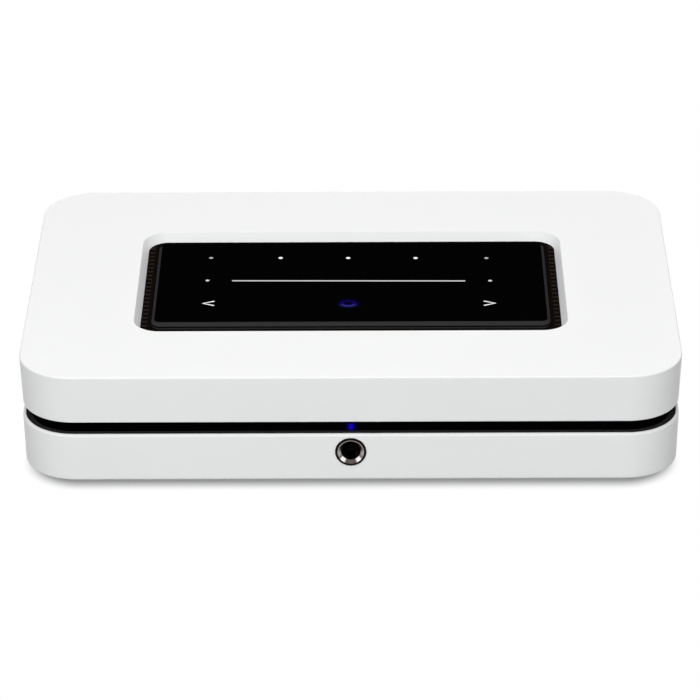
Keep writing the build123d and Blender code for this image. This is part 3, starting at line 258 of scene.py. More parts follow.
def addPiece(name, meshes, finish, replaced=(), cutters=()):
    # one named piece that rides on the unit; its slot has the finish's name
    piece = rawObject(name, meshes)
    if cutters:
        tool = rawObject(name + "_cutter", cutters)
        cut = piece.modifiers.new("cut", "BOOLEAN")
        cut.operation = "DIFFERENCE"
        cut.solver = "EXACT"
        cut.use_self = True
        cut.object = tool
        bpy.context.view_layer.update()
        shaped = bpy.data.meshes.new_from_object(piece.evaluated_get(bpy.context.evaluated_depsgraph_get()))
        piece.modifiers.clear()
        old = piece.data
        piece.data = shaped
        shaped.name = name
        bpy.data.meshes.remove(old)
        bpy.data.objects.remove(tool)
    piece.data.materials.clear()
    piece.data.materials.append(looks[finish])
    piece.data.shade_smooth()
    piece.data.set_sharp_from_angle(angle=smoothAngle)
    weighted = piece.modifiers.new("even shading", "WEIGHTED_NORMAL")
    weighted.keep_sharp = True
    weighted.weight = 80
    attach(piece, "unit")
    if replaced:
        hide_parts(*replaced)


# Materials

def linear(colour):
    # a screen colour of 0 to 255 in the linear values that the nodes take
    value = np.array(colour, float) / 255
    return tuple(np.where(value <= 0.04045, value / 12.92, ((value + 0.055) / 1.055) ** 2.4)) + (1.0,)


def feed(owner, inputs, values):
    # each input takes a number, a vector, a colour or the socket that drives it
    for key, value in values.items():
        if isinstance(value, bpy.types.NodeSocket):
            owner.node_tree.links.new(value, inputs[key])
        else:
            inputs[key].default_value = value


def addNode(owner, kind, values=None, **settings):
    # one node of a material or of the world; gives its outputs
    node = owner.node_tree.nodes.new("ShaderNode" + kind)
    for key, value in settings.items():
        setattr(node, key, value)
    feed(owner, node.inputs, values or {})
    return node.outputs


def counted(owner, operation, *values, clamp=False):
    # one Math node; numbers and sockets may be mixed
    return addNode(owner, "Math", dict(enumerate(values)), operation=operation, use_clamp=clamp)["Value"]


def product(owner, first, *others):
    # all the values multiplied
    for other in others:
        first = counted(owner, "MULTIPLY", first, other)
    return first


def shade(look, values):
    # a look is a material of the dictionary looks; the values go to its shader
    feed(look, look.node_tree.nodes["Principled BSDF"].inputs, values)


def mixed(look, first, second, factor):
    # first (a colour or a socket) where the factor is 0, the colour second where it is 1
    start = first if isinstance(first, bpy.types.NodeSocket) else linear(first)
    return addNode(look, "Mix", {"A": start, "B": linear(second), "Factor": factor}, data_type="RGBA")["Result"]


def coordinate(look, axis, kind="Object"):
    # place along an axis in metres, or that axis's part of the surface's direction
    return addNode(look, "SeparateXYZ", {"Vector": addNode(look, "TexCoord")[kind]})[axis]


def ranged(look, value, low, high):
    # 0 below low, 1 above high
    values = {"From Min": low, "From Max": high, "Value": value}
    return addNode(look, "MapRange", values, interpolation_type="SMOOTHSTEP")["Result"]


def facing(look, axis, low, high):
    # 1 where the surface faces along an axis
    return ranged(look, coordinate(look, axis, "Normal"), low, high)


def squares(look, first, second):
    # first^2 + second^2
    return counted(look, "ADD", product(look, first, first), product(look, second, second))


def bell(look, squared, reach):
    # exp(-squared / reach^2)
    return counted(look, "EXPONENT", counted(look, "DIVIDE", squared, -(reach * mm) ** 2))


def between(look, value, low, high, soft=0.1):
    # 1 from low to high in millimetres
    rise = ranged(look, value, (low - soft) * mm, low * mm)
    return product(look, rise, ranged(look, value, (high + soft) * mm, high * mm))


def cells(look, size, output="Color"):
    # one random value for each cell, or the distance from its middle
    place = addNode(look, "TexCoord")["Object"]
    cell = addNode(look, "TexVoronoi", {"Scale": 1 / (size * mm), "Vector": place})
    if output == "Distance":
        return cell["Distance"]
    return addNode(look, "SeparateXYZ", {"Vector": cell["Color"]})["X"]


def drawnNoise(look, size, stretch):
    # noise pulled out along the axes that stretch makes small
    pull = addNode(look, "Mapping", {"Scale": stretch, "Vector": addNode(look, "TexCoord")["Object"]})
    return addNode(look, "TexNoise", {"Scale": 1 / (size * mm), "Vector": pull["Vector"]})["Fac"]


def stripes(look, axis, pitch, share):
    # 1 over the given share of each pitch along an axis
    turn = counted(look, "DIVIDE", coordinate(look, axis), pitch * mm)
    return counted(look, "LESS_THAN", counted(look, "FRACT", turn), share)


def layered(look, factor, colour):
    # one more colour over what already feeds the shader's colour
    underneath = look.node_tree.nodes["Principled BSDF"].inputs["Base Color"].links[0].from_socket
    shade(look, {"Base Color": mixed(look, underneath, colour, factor)})


def plainMaterial(name, colour, rough, metal=0.0, grain=2500.0, bump=0.02, vary=0.04, specular=0.5, glow=None):
    # broad noise varies the colour by the share vary, fine noise drives roughness and relief
    look = bpy.data.materials.new(name)
    look.use_nodes = True
    place = addNode(look, "TexCoord")["Object"]
    noise = addNode(look, "TexNoise", {"Scale": grain, "Detail": 3.0, "Vector": place})["Fac"]
    broad = addNode(look, "TexNoise", {"Scale": 45.0, "Vector": place})["Fac"]
    base = np.array(linear(colour))
    dark, pale = (tuple(np.clip(base * share, 0, 1)[:3]) + (1.0,) for share in (1 - vary, 1 + vary))
    tint = addNode(look, "Mix", {"A": dark, "B": pale, "Factor": broad}, data_type="RGBA")["Result"]
    spread = {"To Min": max(rough - 0.05, 0.02), "To Max": min(rough + 0.05, 1.0), "Value": noise}
    relief = addNode(look, "Bump", {"Strength": bump, "Distance": 0.0002, "Height": noise})["Normal"]
    shade(look, {"Base Color": tint, "Roughness": addNode(look, "MapRange", spread)["Result"], "Normal": relief,
                 "Metallic": metal, "Specular IOR Level": specular})
    if glow:
        shade(look, {"Emission Color": linear(glow), "Emission Strength": 1.0})
    return look


def bevelledGlassPaintedLight(look):
    # the printed glass is black where it is level; the grey on its bevel and edge is a painted reflection, and the
    # dark line between them is a painted shadow
    flat = facing(look, "Z", 0.9, 0.97)
    lineHigh, lineLow = (glass["high"] - glass["bevel"] - drop for drop in glass["line"])
    line = between(look, coordinate(look, "Z"), lineLow, lineHigh)
    shade(look, {"Base Color": mixed(look, (50, 49, 49), (3, 3, 3), counted(look, "MAXIMUM", flat, line))})


def channelPaintedLight(look):
    # the web is glossy black with the status light's halo painted on as a glow; the ledge that carries it gets a
    # painted highlight where it faces up
    height = coordinate(look, "Z")
    above = ranged(look, height, (tub["high"] - 0.05) * mm, (tub["high"] + 0.05) * mm)
    ledge = product(look, facing(look, "Z", 0.8, 0.95), counted(look, "SUBTRACT", 1.0, above))
    # painted halo glow = haloLevel * exp(-(x^2 + (z - middle)^2) / halo^2)
    off = counted(look, "SUBTRACT", height, pipe["middle"] * mm)
    squared = squares(look, coordinate(look, "X"), off)
    shade(look, {"Base Color": mixed(look, (3, 3, 3), (50, 48, 48), ledge), "Emission Color": linear(pipe["colour"]),
                 "Emission Strength": product(look, bell(look, squared, pipe["halo"]), pipe["haloLevel"])})


def ringGlow(look):
    # brightness = exp(-((r - radius) / width)^2) + haloShare * exp(-((r - radius) / halo)^2), the second term a
    # painted glow on the glass round the lit ring
    across = counted(look, "SUBTRACT", coordinate(look, "X"), signRing["x"] * mm)
    along = counted(look, "SUBTRACT", coordinate(look, "Y"), signRing["y"] * mm)
    along = product(look, along, signRing["squash"])
    distance = counted(look, "SQRT", squares(look, across, along))
    off = counted(look, "SUBTRACT", distance, signRing["radius"] * mm)
    squared = product(look, off, off)
    halo = product(look, bell(look, squared, signRing["halo"]), signRing["haloShare"])
    colour = mixed(look, signRing["far"], signRing["near"], ranged(look, along, 0.0, -2.2 * mm))
    strength = counted(look, "ADD", bell(look, squared, signRing["width"]), halo)
    shade(look, {"Emission Color": colour, "Emission Strength": strength})


def litPipe(look):
    # the light fades out towards the pipe's top, foot and sides
    height = coordinate(look, "Z")
    fade = ranged(look, height, (pipe["high"] - 0.5) * mm, (pipe["high"] - 1.2) * mm)
    foot = ranged(look, height, (tub["high"] - channel["sink"]) * mm, (tub["high"] + 0.45) * mm)
    side = ranged(look, counted(look, "ABSOLUTE", coordinate(look, "X")), 0.9 * mm, 0.45 * mm)
    shade(look, {"Emission Strength": product(look, fade, foot, side)})


def collarPaintedReflections(look):
    # turned nickel with painted reflections: bright bands low at both sides of the mouth, dark between, by the angle
    # from straight down
    up = counted(look, "SUBTRACT", coordinate(look, "Z"), jack["z"] * mm)
    turn = counted(look, "ARCTAN2", coordinate(look, "X"), product(look, up, -1.0))
    paintedBands = look.node_tree.nodes.new("ShaderNodeValToRGB")
    ramp = paintedBands.color_ramp.elements
    ramp[0].color, ramp[1].color = linear((104, 92, 88)), linear((158, 148, 144))
    for stop, colour in ((0.13, (88, 76, 72)), (0.185, (244, 241, 238)), (0.28, (252, 250, 247)),
                         (0.33, (112, 100, 96)), (0.44, (176, 166, 162))):
        ramp.new(stop).color = linear(colour)
    feed(look, paintedBands.inputs, {"Fac": counted(look, "DIVIDE", counted(look, "ABSOLUTE", turn), math.pi)})
    shade(look, {"Base Color": paintedBands.outputs["Color"]})


def ventPaintedRibLight(look):
    # the ribs between the slots get a painted highlight where they face up, lighter than the plate round them
    ribs = between(look, counted(look, "ABSOLUTE", coordinate(look, "X")), vents["low"], vents["high"])
    lit = product(look, ribs, facing(look, "Z", 0.5, 0.9))
    shade(look, {"Base Color": mixed(look, (16, 12, 10), (37, 30, 27), lit)})


def circuitBoard(look):
    # green mask over copper tracks, tinned pads, and a pale fibre edge
    place = addNode(look, "TexCoord")["Object"]
    fields = drawnNoise(look, 9.0, (1, 1, 0))
    for width, turned, low, high in ((5.3, 0.0, 0.5, 0.52), (4.1, math.pi / 2, 0.46, 0.44)):
        pull = addNode(look, "Mapping", {"Rotation": (0, 0, turned), "Scale": (1 / mm, 1 / mm, 0), "Vector": place})
        brick = {"Scale": 1.0, "Brick Width": width, "Row Height": 0.62, "Mortar Size": 0.1, "Vector": pull["Vector"]}
        track = addNode(look, "TexBrick", brick)["Fac"]
        layered(look, product(look, track, ranged(look, fields, low, high)), (52, 128, 82))
    layered(look, counted(look, "LESS_THAN", cells(look, 2.6, "Distance"), 0.14), (196, 196, 192))
    upright = counted(look, "ABSOLUTE", coordinate(look, "Z", "Normal"))
    layered(look, ranged(look, upright, 0.5, 0.3), (166, 158, 112))


def canSleeve(look):
    # printed sleeve with the pale stripe of the minus side, bare aluminium in the sunk top
    layered(look, facing(look, "X", 0.93, 0.94), (188, 190, 198))
    top = facing(look, "Z", 0.9, 0.97)
    layered(look, top, (190, 191, 194))
    shade(look, {"Metallic": top})


# colour, roughness and what differs from plainMaterial's other values
finishes = {
    "white_shell": ((240, 240, 239), 0.38, {"grain": 3500, "bump": 0.05, "vary": 0.01}),
    "gloss_black": ((7, 7, 7), 0.16, {"grain": 1500, "bump": 0.01, "specular": 0.08}),
    "black_plastic": ((24, 21, 21), 0.5, {"grain": 4000, "bump": 0.12, "specular": 0.3}),
    "black_glass": ((3, 3, 3), 0.07, {"grain": 60, "bump": 0.0, "specular": 0.12}),
    "bevelled_glass_painted_light": ((3, 3, 3), 0.06, {"grain": 60, "bump": 0.0, "specular": 0.0}),
    "channel_black_painted_light": ((5, 5, 5), 0.2, {"grain": 1500, "bump": 0.01, "specular": 0.0}),
    "vent_black_painted_rib_light": ((18, 14, 12), 0.5, {"grain": 4000, "bump": 0.1, "specular": 0.0}),
    "black_rubber": ((26, 26, 26), 0.75, {"grain": 3000, "bump": 0.2}),
    "nickel": ((205, 200, 198), 0.24, {"metal": 1.0, "grain": 900, "bump": 0.03}),
    "collar_nickel_painted_reflections": ((150, 142, 140), 0.22, {"metal": 1.0, "grain": 900, "bump": 0.03}),
    "tin": ((190, 190, 192), 0.3, {"metal": 1.0, "grain": 700, "bump": 0.05}),
    "gold": ((222, 178, 92), 0.22, {"metal": 1.0, "grain": 900, "bump": 0.03}),
    "screw_steel": ((150, 150, 152), 0.32, {"metal": 1.0, "grain": 1200, "bump": 0.05}),
    "circuit_board": ((20, 70, 44), 0.36, {"grain": 1500, "bump": 0.08, "vary": 0.1}),
    "light_chip": ((232, 226, 200), 0.4),
    "ribbon": ((196, 140, 62), 0.35, {"vary": 0.1}),
    "ivory_plastic": ((226, 218, 198), 0.45),
    "chip_black": ((30, 30, 32), 0.55, {"grain": 5000, "bump": 0.15}),
    "black_aluminium": ((28, 28, 30), 0.4, {"metal": 0.7, "grain": 1800, "bump": 0.05}),
    "insulating_film": ((222, 222, 216), 0.35),
    "choke_green": ((40, 84, 52), 0.5, {"vary": 0.15}),
    "copper_wire": ((176, 92, 44), 0.3, {"metal": 0.9, "grain": 1500, "bump": 0.03}),
    "yellow_plastic": ((214, 174, 44), 0.45),
    "can_sleeve": ((22, 24, 40), 0.3),
    "ferrite": ((48, 46, 46), 0.7, {"grain": 2500, "bump": 0.2}),
    "winding_tape": ((206, 168, 60), 0.4),
    "red_lens": ((150, 10, 12), 0.15),
    "orange_plastic": ((222, 118, 32), 0.42),
    "white_plastic": ((226, 226, 222), 0.42),
    "red_plastic": ((182, 26, 28), 0.42),
    "blue_light": ((6, 1, 30), 0.3, {"specular": 0.0, "glow": pipe["colour"]}),
    "icon_white": ((20, 20, 20), 0.4, {"specular": 0.0, "glow": (250, 250, 250)}),
    "icon_grey": ((12, 12, 12), 0.4, {"specular": 0.0, "glow": (180, 180, 180)}),
    "icon_line": ((12, 12, 12), 0.4, {"specular": 0.0, "glow": (216, 216, 216)}),
    "icon_blue": ((3, 3, 3), 0.4, {"specular": 0.0}),
}
looks = {name: plainMaterial(name, *values[:2], **dict(*values[2:])) for name, values in finishes.items()}
dressed = {"bevelled_glass_painted_light": bevelledGlassPaintedLight, "channel_black_painted_light": channelPaintedLight, "vent_black_painted_rib_light": ventPaintedRibLight,
           "collar_nickel_painted_reflections": collarPaintedReflections, "circuit_board": circuitBoard, "can_sleeve": canSleeve,
           "blue_light": litPipe, "icon_blue": ringGlow}
for name, dress in dressed.items():
    dress(looks[name])
# two colours and the pattern that chooses between them
patterns = {
    "tin": ((174, 175, 179), (206, 206, 208), cells, 2.2),
    "ferrite": ((38, 36, 36), (66, 63, 62), cells, 0.35),
    "black_aluminium": ((22, 22, 24), (44, 44, 47), drawnNoise, 0.25, (1, 0.02, 1)),
    "screw_steel": ((128, 128, 131), (172, 172, 174), drawnNoise, 0.3, (1, 1, 0.2)),
    "ribbon": ((214, 160, 78), (150, 98, 44), stripes, "X", 0.5, 0.55),
    "winding_tape": ((214, 178, 70), (168, 128, 40), stripes, "Z", 1.25, 0.1),
    "choke_green": ((30, 70, 42), (54, 104, 66), cells, 0.5),
    "chip_black": ((24, 24, 26), (40, 40, 42), cells, 0.15),
}
for name, (first, second, pattern, *sizes) in patterns.items():
    shade(looks[name], {"Base Color": mixed(looks[name], first, second, pattern(looks[name], *sizes))})
ownLook = {"vent_frame": "vent_black_painted_rib_light"}
for entry in frame["record"]["subparts"]:
    node = frame["nodes"][entry["node"]]
    node.data.materials.clear()
    node.data.materials.append(looks[ownLook.get(entry["node"], entry["material_slot"])])
print("stage: materials")

# Case: upper shell, lower shell, black channel. Posts: the case screws bite in the upper ones and pass through
# the lower ones, short ones carry the boards

posts = {"upper": 3.5, "lower": 4.6, "board": 3.0, "lug": 4.0, "caseBite": 1.55, "casePass": 1.8, "boardBite": 1.3,
         "root": 0.5, "spare": 0.3, "tight": 0.05, "headBore": 3.1, "headSink": 6.1, "steps": 32}
foot = {"radius": 8.0, "round": 0.9, "groove": 5.4, "step": 0.4, "rise": 0.3, "small": 0.15,
        "top": level("rubber_feet", 1), "gap": 0.15, "socket": 3.3}
floorSlots = {"count": 12, "pitch": 5.6, "width": 2.2, "length": 32, "corner": 1.09, "high": 7}
caseScrews, smallScrews, footPads = islands("case_screws"), islands("small_screws"), islands("rubber_feet")

panelHigh, panelMiddle = panel["high"] - panel["low"], (panel["high"] + panel["low"]) / 2
rearCut = prismMesh(boxOutline(panel["width"] + 2 * panel["gap"], panelHigh + 2 * panel["gap"],
                               panel["corner"] + panel["gap"], 0, panelMiddle), panel["y"], panel["back"], "y")
lidLow, recessIn = case["high"] - case["lid"], recess["draw"] - recess["wall"]
upperRows = outlineRows(case, [
    (case["wall"], lidLow, 0), (case["wall"], case["low"], 0), (case["draw"], case["low"], case["lowRound"]),
    (0, case["high"], case["topRound"]), (case["flat"], case["high"], 0)])
upperRows += outlineRows(recess, [
    (-case["flat"], case["high"], 0), (0, case["high"], recess["round"]), (recess["draw"], recess["floor"], 0),
    (recessIn, recess["floor"], 0), (recessIn, lidLow, 0)])
upperParts, upperCuts = [ringMesh(upperRows, True)], [rearCut]
for spot, size in caseScrews:
    upperParts.append(rod(posts["upper"], spot, case["low"], lidLow + posts["root"]))
    bite = spot[2] + size[2] / 2 + posts["spare"]
    upperCuts.append(rod(posts["caseBite"], spot, case["low"] - 1, bite, posts["steps"]))
for spot, size in smallScrews:
    if spot[2] > case["low"]:
        upperParts.append(rod(posts["board"], spot, recess["floor"], lidLow + posts["root"]))
        bite = spot[2] + size[2] / 2 + posts["tight"]
        upperCuts.append(rod(posts["boardBite"], spot, recess["floor"] - 1, bite, posts["steps"]))
addPiece("upper_shell_skin", upperParts, "white_shell", ["upper_shell"], cutters=upperCuts)

tubFloor = tub["low"] + tub["floor"]
tubRows = outlineRows(tub, [
    (tub["flat"], tub["low"], 0), (tub["draw"], tub["low"], tub["lowRound"]), (0, tub["high"], tub["topRound"]),
    (tub["rebate"], tub["high"], 0), (tub["rebate"], channel["low"], 0), (tub["wall"], channel["low"], 0),
    (tub["wall"], tubFloor, 0), (tub["flat"], tubFloor, 0)])
tubParts = [ringMesh(tubRows, False)]
tubCuts = [rearCut, rod(jack["bezel"] + jack["slack"], (0, jack["z"]), *jack["cut"], turnSteps, "y")]
tubCuts += [rod(foot["radius"] + foot["gap"], spot, 0, foot["socket"], turnSteps) for spot, size in footPads]
for spot, size in caseScrews:
    tubParts.append(rod(posts["lower"], spot, tubFloor - posts["root"], channel["low"]))
    headProfile = [(posts["headBore"], 0, 0), (posts["headBore"], posts["headSink"], 0),
                   (posts["casePass"], posts["headSink"], 0), (posts["casePass"], channel["low"] + 1, 0)]
    tubCuts.append(turnedMesh(headProfile, "z", spot[:2], False))
for spot, size in smallScrews:
    if spot[2] < case["low"]:
        onMain = spot[2] < level("front_board", 0) - size[2] / 2
        top = level("main_board" if onMain else "front_board", 0)
        tubParts.append(rod(posts["board"], spot, tubFloor - posts["root"], top))
        bite = spot[2] - size[2] / 2 - posts["tight"]
        tubCuts.append(rod(posts["boardBite"], spot, bite, top + 1, posts["steps"]))
for turn in range(floorSlots["count"]):
    slotX = boxOf("heat_sink")[1][0] + (turn - (floorSlots["count"] - 1) / 2) * floorSlots["pitch"]
    slot = boxOutline(floorSlots["width"], floorSlots["length"], floorSlots["corner"], slotX, 0)
    tubCuts.append(prismMesh(slot, 0, floorSlots["high"]))
addPiece("lower_shell_skin", tubParts, "white_shell", ["lower_shell"], cutters=tubCuts)

back, ledgeHigh = channel["inset"] + channel["thickness"], tub["high"] - channel["sink"]
lipLow, small = channel["high"] - channel["lip"], channel["round"]
channelRows = outlineRows(tub, [
    (back, channel["low"], 0), (channel["ledge"], channel["low"], 0), (channel["ledge"], ledgeHigh, channel["bevel"]),
    (channel["inset"], ledgeHigh, small), (channel["inset"], lipLow, small), (channel["flange"], lipLow, small),
    (channel["flange"], channel["high"], 0), (back, channel["high"], 0)])
gapOutline = boxOutline(channelGap["width"], channelGap["depth"], 0.1, 0, channelGap["y"])
pipeOutline = boxOutline(pipe["width"], pipe["length"], 0.1, 0, pipe["y"])
channelCuts = [prismMesh(gapOutline, channelGap["low"], channelGap["high"]),
               prismMesh(pipeOutline, ledgeHigh - pipe["slack"], pipe["high"] + pipe["slack"])]
channelCuts += [rod(posts["casePass"], spot, channel["low"] - 1, channel["high"] + 1, posts["steps"])
                for spot, size in caseScrews]
lugs = [rod(posts["lug"], spot, channel["low"], channel["high"]) for spot, size in caseScrews]
addPiece("channel_ring", [ringMesh(channelRows, True)] + lugs, "channel_black_painted_light", ["middle_frame"],
         channelCuts)

# Touch panel: bevelled glass and its lit signs

bevelLow = glass["high"] - glass["bevel"]
glassRows = outlineRows(glass, [
    (1.5, glass["low"], 0), (0, glass["low"], 0.1), (0, bevelLow, glass["edge"]),
    (glass["bevel"], glass["high"], glass["edge"]), (glass["bevel"] + 1.2, glass["high"], 0)])
addPiece("touch_glass_plate", [ringMesh(glassRows, False)], "bevelled_glass_painted_light", ["touch_glass"])

signs = {"tilt": -0.0092, "row": 18.8, "bright": (-24.7, -1.1, 22.4), "brightRadius": 0.77, "dim": (-49.0, 47.1),
         "dimRadius": 0.72, "slider": (-41.1, 39.3), "sliderY": 0.6, "sliderWidth": 0.76, "ends": (-49.6, 47.9),
         "endY": 0.8, "endRadius": 0.67, "arrows": ((-48.85, -16.57, 1), (47.5, -17.12, -1)), "reach": 2.05,
         "rise": 2.0, "arrowWidth": 0.63}
signLow, signHigh = glass["high"] - 0.02, glass["high"] + 0.015


def tilted(x, y):
    # the rows of signs lean a little against the case
    return x, y + signs["tilt"] * x


def disc(spot, radius):
    # a thin round sign that stands a little out of the glass
    return rod(radius, spot, signLow, signHigh, 32)


def stroke(start, end, width):
    # a straight bar: both ends moved to each side by half the width
    first, last = np.array(start), np.array(end)
    along = (last - first) / np.linalg.norm(last - first)
    side = np.array((-along[1], along[0])) * width / 2
    return prismMesh([first - side, last - side, last + side, first + side], signLow, signHigh)


def chevron(x, y, way):
    # a bent stroke of even width: outer points first, then the inner ones back
    reach, rise, width = signs["reach"], signs["rise"], signs["arrowWidth"]
    tip, tail = x - way * reach, x + way * reach
    slant = width / math.sin(math.atan2(rise, 2 * reach)) / 1.6
    outline = [(tip, y), (tail, y + rise), (tail + way * 0.35, y + rise - width), (tip + way * slant, y),
               (tail + way * 0.35, y - rise + width), (tail, y - rise)]
    return prismMesh(outline, signLow, signHigh)


for name, kind, finish in (("sign_dots", "bright", "icon_white"), ("sign_dots_dim", "dim", "icon_grey")):
    dots = [disc(tilted(x, signs["row"]), signs[kind + "Radius"]) for x in signs[kind]]
    addPiece(name, dots, finish)
slider = [stroke(*(tilted(x, signs["sliderY"]) for x in signs["slider"]), signs["sliderWidth"])]
slider += [disc(tilted(x, signs["endY"]), signs["endRadius"]) for x in signs["ends"]]
addPiece("sign_slider", slider, "icon_line")
addPiece("sign_arrows", [chevron(*arrow) for arrow in signs["arrows"]], "icon_white")
addPiece("sign_ring", [disc((signRing["x"], signRing["y"]), signRing["reach"])], "icon_blue")

# Headphone socket

bezelInner, mouthY = jack["collar"] + 0.05, jack["front"] + jack["sink"]
bezelProfile = [(bezelInner, jack["back"], 0), (bezelInner, jack["front"], 0.15), (jack["bezel"], jack["front"], 0.3),
                (jack["bezel"], jack["back"], 0)]
addPiece("headphone_ring", [turnedMesh(bezelProfile, "y", (0, jack["z"]))], "gloss_black", ["headphone_bezel"])
collarProfile = [(jack["collar"], mouthY + jack["length"], 0), (jack["throat"], mouthY + jack["length"], 0),
                 (jack["throat"], mouthY + jack["flare"], 0.25), (jack["mouth"], mouthY, 0.04),
                 (jack["collar"], mouthY, 0.04)]
# the collar's bright and dark bands are painted reflections
addPiece("headphone_collar_bright", [turnedMesh(collarProfile, "y", (0, jack["z"]))], "collar_nickel_painted_reflections",
         ["headphone_collar"])
print("stage: case, panel and headphone socket")

# Rear tray and its sockets

rear = {"back": 72.4, "floor": 63.5, "plate": 1.6, "wall": 1.4, "round": 0.4, "flange": 1.5, "reach": 1.5, "flat": 10,
        "slack": 0.1, "cut": (60, 65), "cutBack": 80}
tray = {"width": panel["width"], "depth": panelHigh, "corner": panel["corner"]}
plateY, trayMiddle = rear["floor"] - rear["plate"], (0.0, panelMiddle)
trayRows = outlineRows(tray, [
    (rear["flat"], plateY, 0), (0, plateY, 0.2), (0, rear["back"], rear["round"]),
    (rear["wall"], rear["back"], rear["round"]), (rear["wall"], rear["floor"], 0.5), (rear["flat"], rear["floor"], 0)])
panelBox = boxOf("rear_panel")
flangeFront = tub["depth"] / 2 - tub["wall"] - panel["gap"] - rear["flange"]
flange = prismMesh(boxOutline(panel["width"] + 2 * rear["reach"], panelBox[2][2] - panelBox[0][2], 0.3,
                              0, panelBox[1][2]), flangeFront, flangeFront + rear["flange"], "y")
inward = 2 * rear["wall"] + rear["slack"]
flangeHole = prismMesh(boxOutline(tray["width"] - inward, tray["depth"] - inward, tray["corner"] - rear["wall"],
                                  0, panelMiddle), rear["floor"] + rear["slack"], rear["cutBack"], "y")


def hullOutline(node, gap):
    # outline of a CAD node seen from behind, wider by a gap all round
    spots = np.array([corner.co[:] for corner in frame["nodes"][node].data.vertices])[:, (0, 2)] / mm
    edge = spots[convex_hull_2d([Vector(spot) for spot in spots])]
    middle, half = (edge.min(0) + edge.max(0)) / 2, (edge.max(0) - edge.min(0)) / 2
    return middle + (edge - middle) * (half + gap) / half


phono = {"ring": 5.2, "stand": 0.8, "outer": 4.15, "inner": 3.65, "contact": 2.1, "bore": 1.65, "back": 61.6,
         "tip": 72.5, "z": 20.0, "slack": 0.05, "contactDrop": 1.3, "coreDrop": 0.8}
mini = {"barrel": 3.0, "bore": 1.8, "z": 15.0, "width": 6.2, "depth": 8.0, "corner": 0.7, "length": 13.0, "back": 61.6,
        "face": 64.0, "root": 0.5, "cut": (51.0, 64.6), "flare": 0.55, "flareDeep": 0.5, "slack": 0.05, "steps": 48}
phonoX = [spot[0] for spot, size in islands("rca_sleeves")]
miniX = [spot[0] for spot, size in islands("mini_sockets")]
socketHoles = [flangeHole]
for node in ("mains_inlet_body", "lan_shell", "usb_shell", "hdmi_shell", "optical_body"):
    socketHoles.append(prismMesh(hullOutline(node, panel["gap"]), *rear["cut"], "y"))
for radius, row, z, steps in ((phono["ring"], phonoX, phono["z"], turnSteps),
                              (mini["barrel"], miniX, mini["z"], mini["steps"])):
    socketHoles += [rod(radius + panel["gap"], (x, z), *rear["cut"], steps, "y") for x in row]
addPiece("rear_tray", [ringMesh(trayRows, False, "y", trayMiddle), flange], "black_plastic", ["rear_panel"],
         cutters=socketHoles)

mains = {"width": 22.6, "depth": 13.0, "corner": 3.0, "face": 64.0, "back": 47.0, "recess": 12.8, "lobe": 4.0,
         "half": 4.3, "waist": 6.4, "pin": 1.2, "pinLength": 9.5, "flat": 5, "cutBack": 66}
boardTop = level("main_board", 1)
mainsX, mainsZ = boxOf("mains_inlet_body")[1][0], boardTop + mains["depth"] / 2
mainsFloor = mains["face"] - mains["recess"]
mainsSides = [(mainsX + side * mains["half"], mainsZ) for side in (-1, 1)]
mainsRows = outlineRows(mains, [
    (mains["flat"], mains["back"], 0), (0, mains["back"], 0.3), (0, mains["face"], 0.35),
    (mains["flat"], mains["face"], 0)])
mainsCuts = [rod(mains["lobe"], spot, mainsFloor, mains["cutBack"], turnSteps, "y") for spot in mainsSides]
waist = boxOutline(2 * mains["half"], mains["waist"], 0.05, mainsX, mainsZ)
mainsCuts.append(prismMesh(waist, mainsFloor, mains["cutBack"], "y"))
addPiece("mains_socket", [ringMesh(mainsRows, False, "y", (mainsX, mainsZ))], "gloss_black", ["mains_inlet_body"],
         mainsCuts)
pinTip = mainsFloor + mains["pinLength"]
pinProfile = [(0.2, mainsFloor, 0), (mains["pin"], mainsFloor, 0), (mains["pin"], pinTip, 0.7), (0.2, pinTip, 0)]
pins = [turnedMesh(pinProfile, "y", spot, False, 32) for spot in mainsSides]
addPiece("mains_pins", pins, "nickel", ["mains_inlet_pins"])

ringY = rear["floor"] + phono["stand"]
contactTip, coreTip = phono["tip"] - phono["contactDrop"], phono["tip"] - phono["coreDrop"]
core, bore = phono["inner"] - phono["slack"], phono["contact"] + phono["slack"]
sleeve = [(phono["inner"], ringY, 0), (phono["outer"], ringY, 0), (phono["outer"], phono["tip"], 0.22),
          (phono["inner"], phono["tip"], 0.22)]
contact = [(phono["bore"], phono["back"], 0), (phono["contact"], phono["back"], 0),
           (phono["contact"], contactTip, 0.18), (phono["bore"], contactTip, 0.18)]
washer = [(bore, phono["back"], 0), (phono["ring"], phono["back"], 0), (phono["ring"], ringY, 0.3), (core, ringY, 0),
          (core, coreTip, 0.25), (bore, coreTip, 0.15)]
for name, profile, steps, node in (("phono_sleeves", sleeve, turnSteps, "rca_sleeves"),
                                   ("phono_contacts", contact, 48, "rca_contacts")):
    addPiece(name, [turnedMesh(profile, "y", (x, phono["z"]), True, steps) for x in phonoX], "gold", [node])
for x, name, finish in zip(phonoX, ("digital", "subwoofer", "left", "right"), ("orange", "black", "white", "red")):
    addPiece("phono_washer_" + name, [turnedMesh(washer, "y", (x, phono["z"]))], finish + "_plastic",
             ["rca_insulator_" + name])

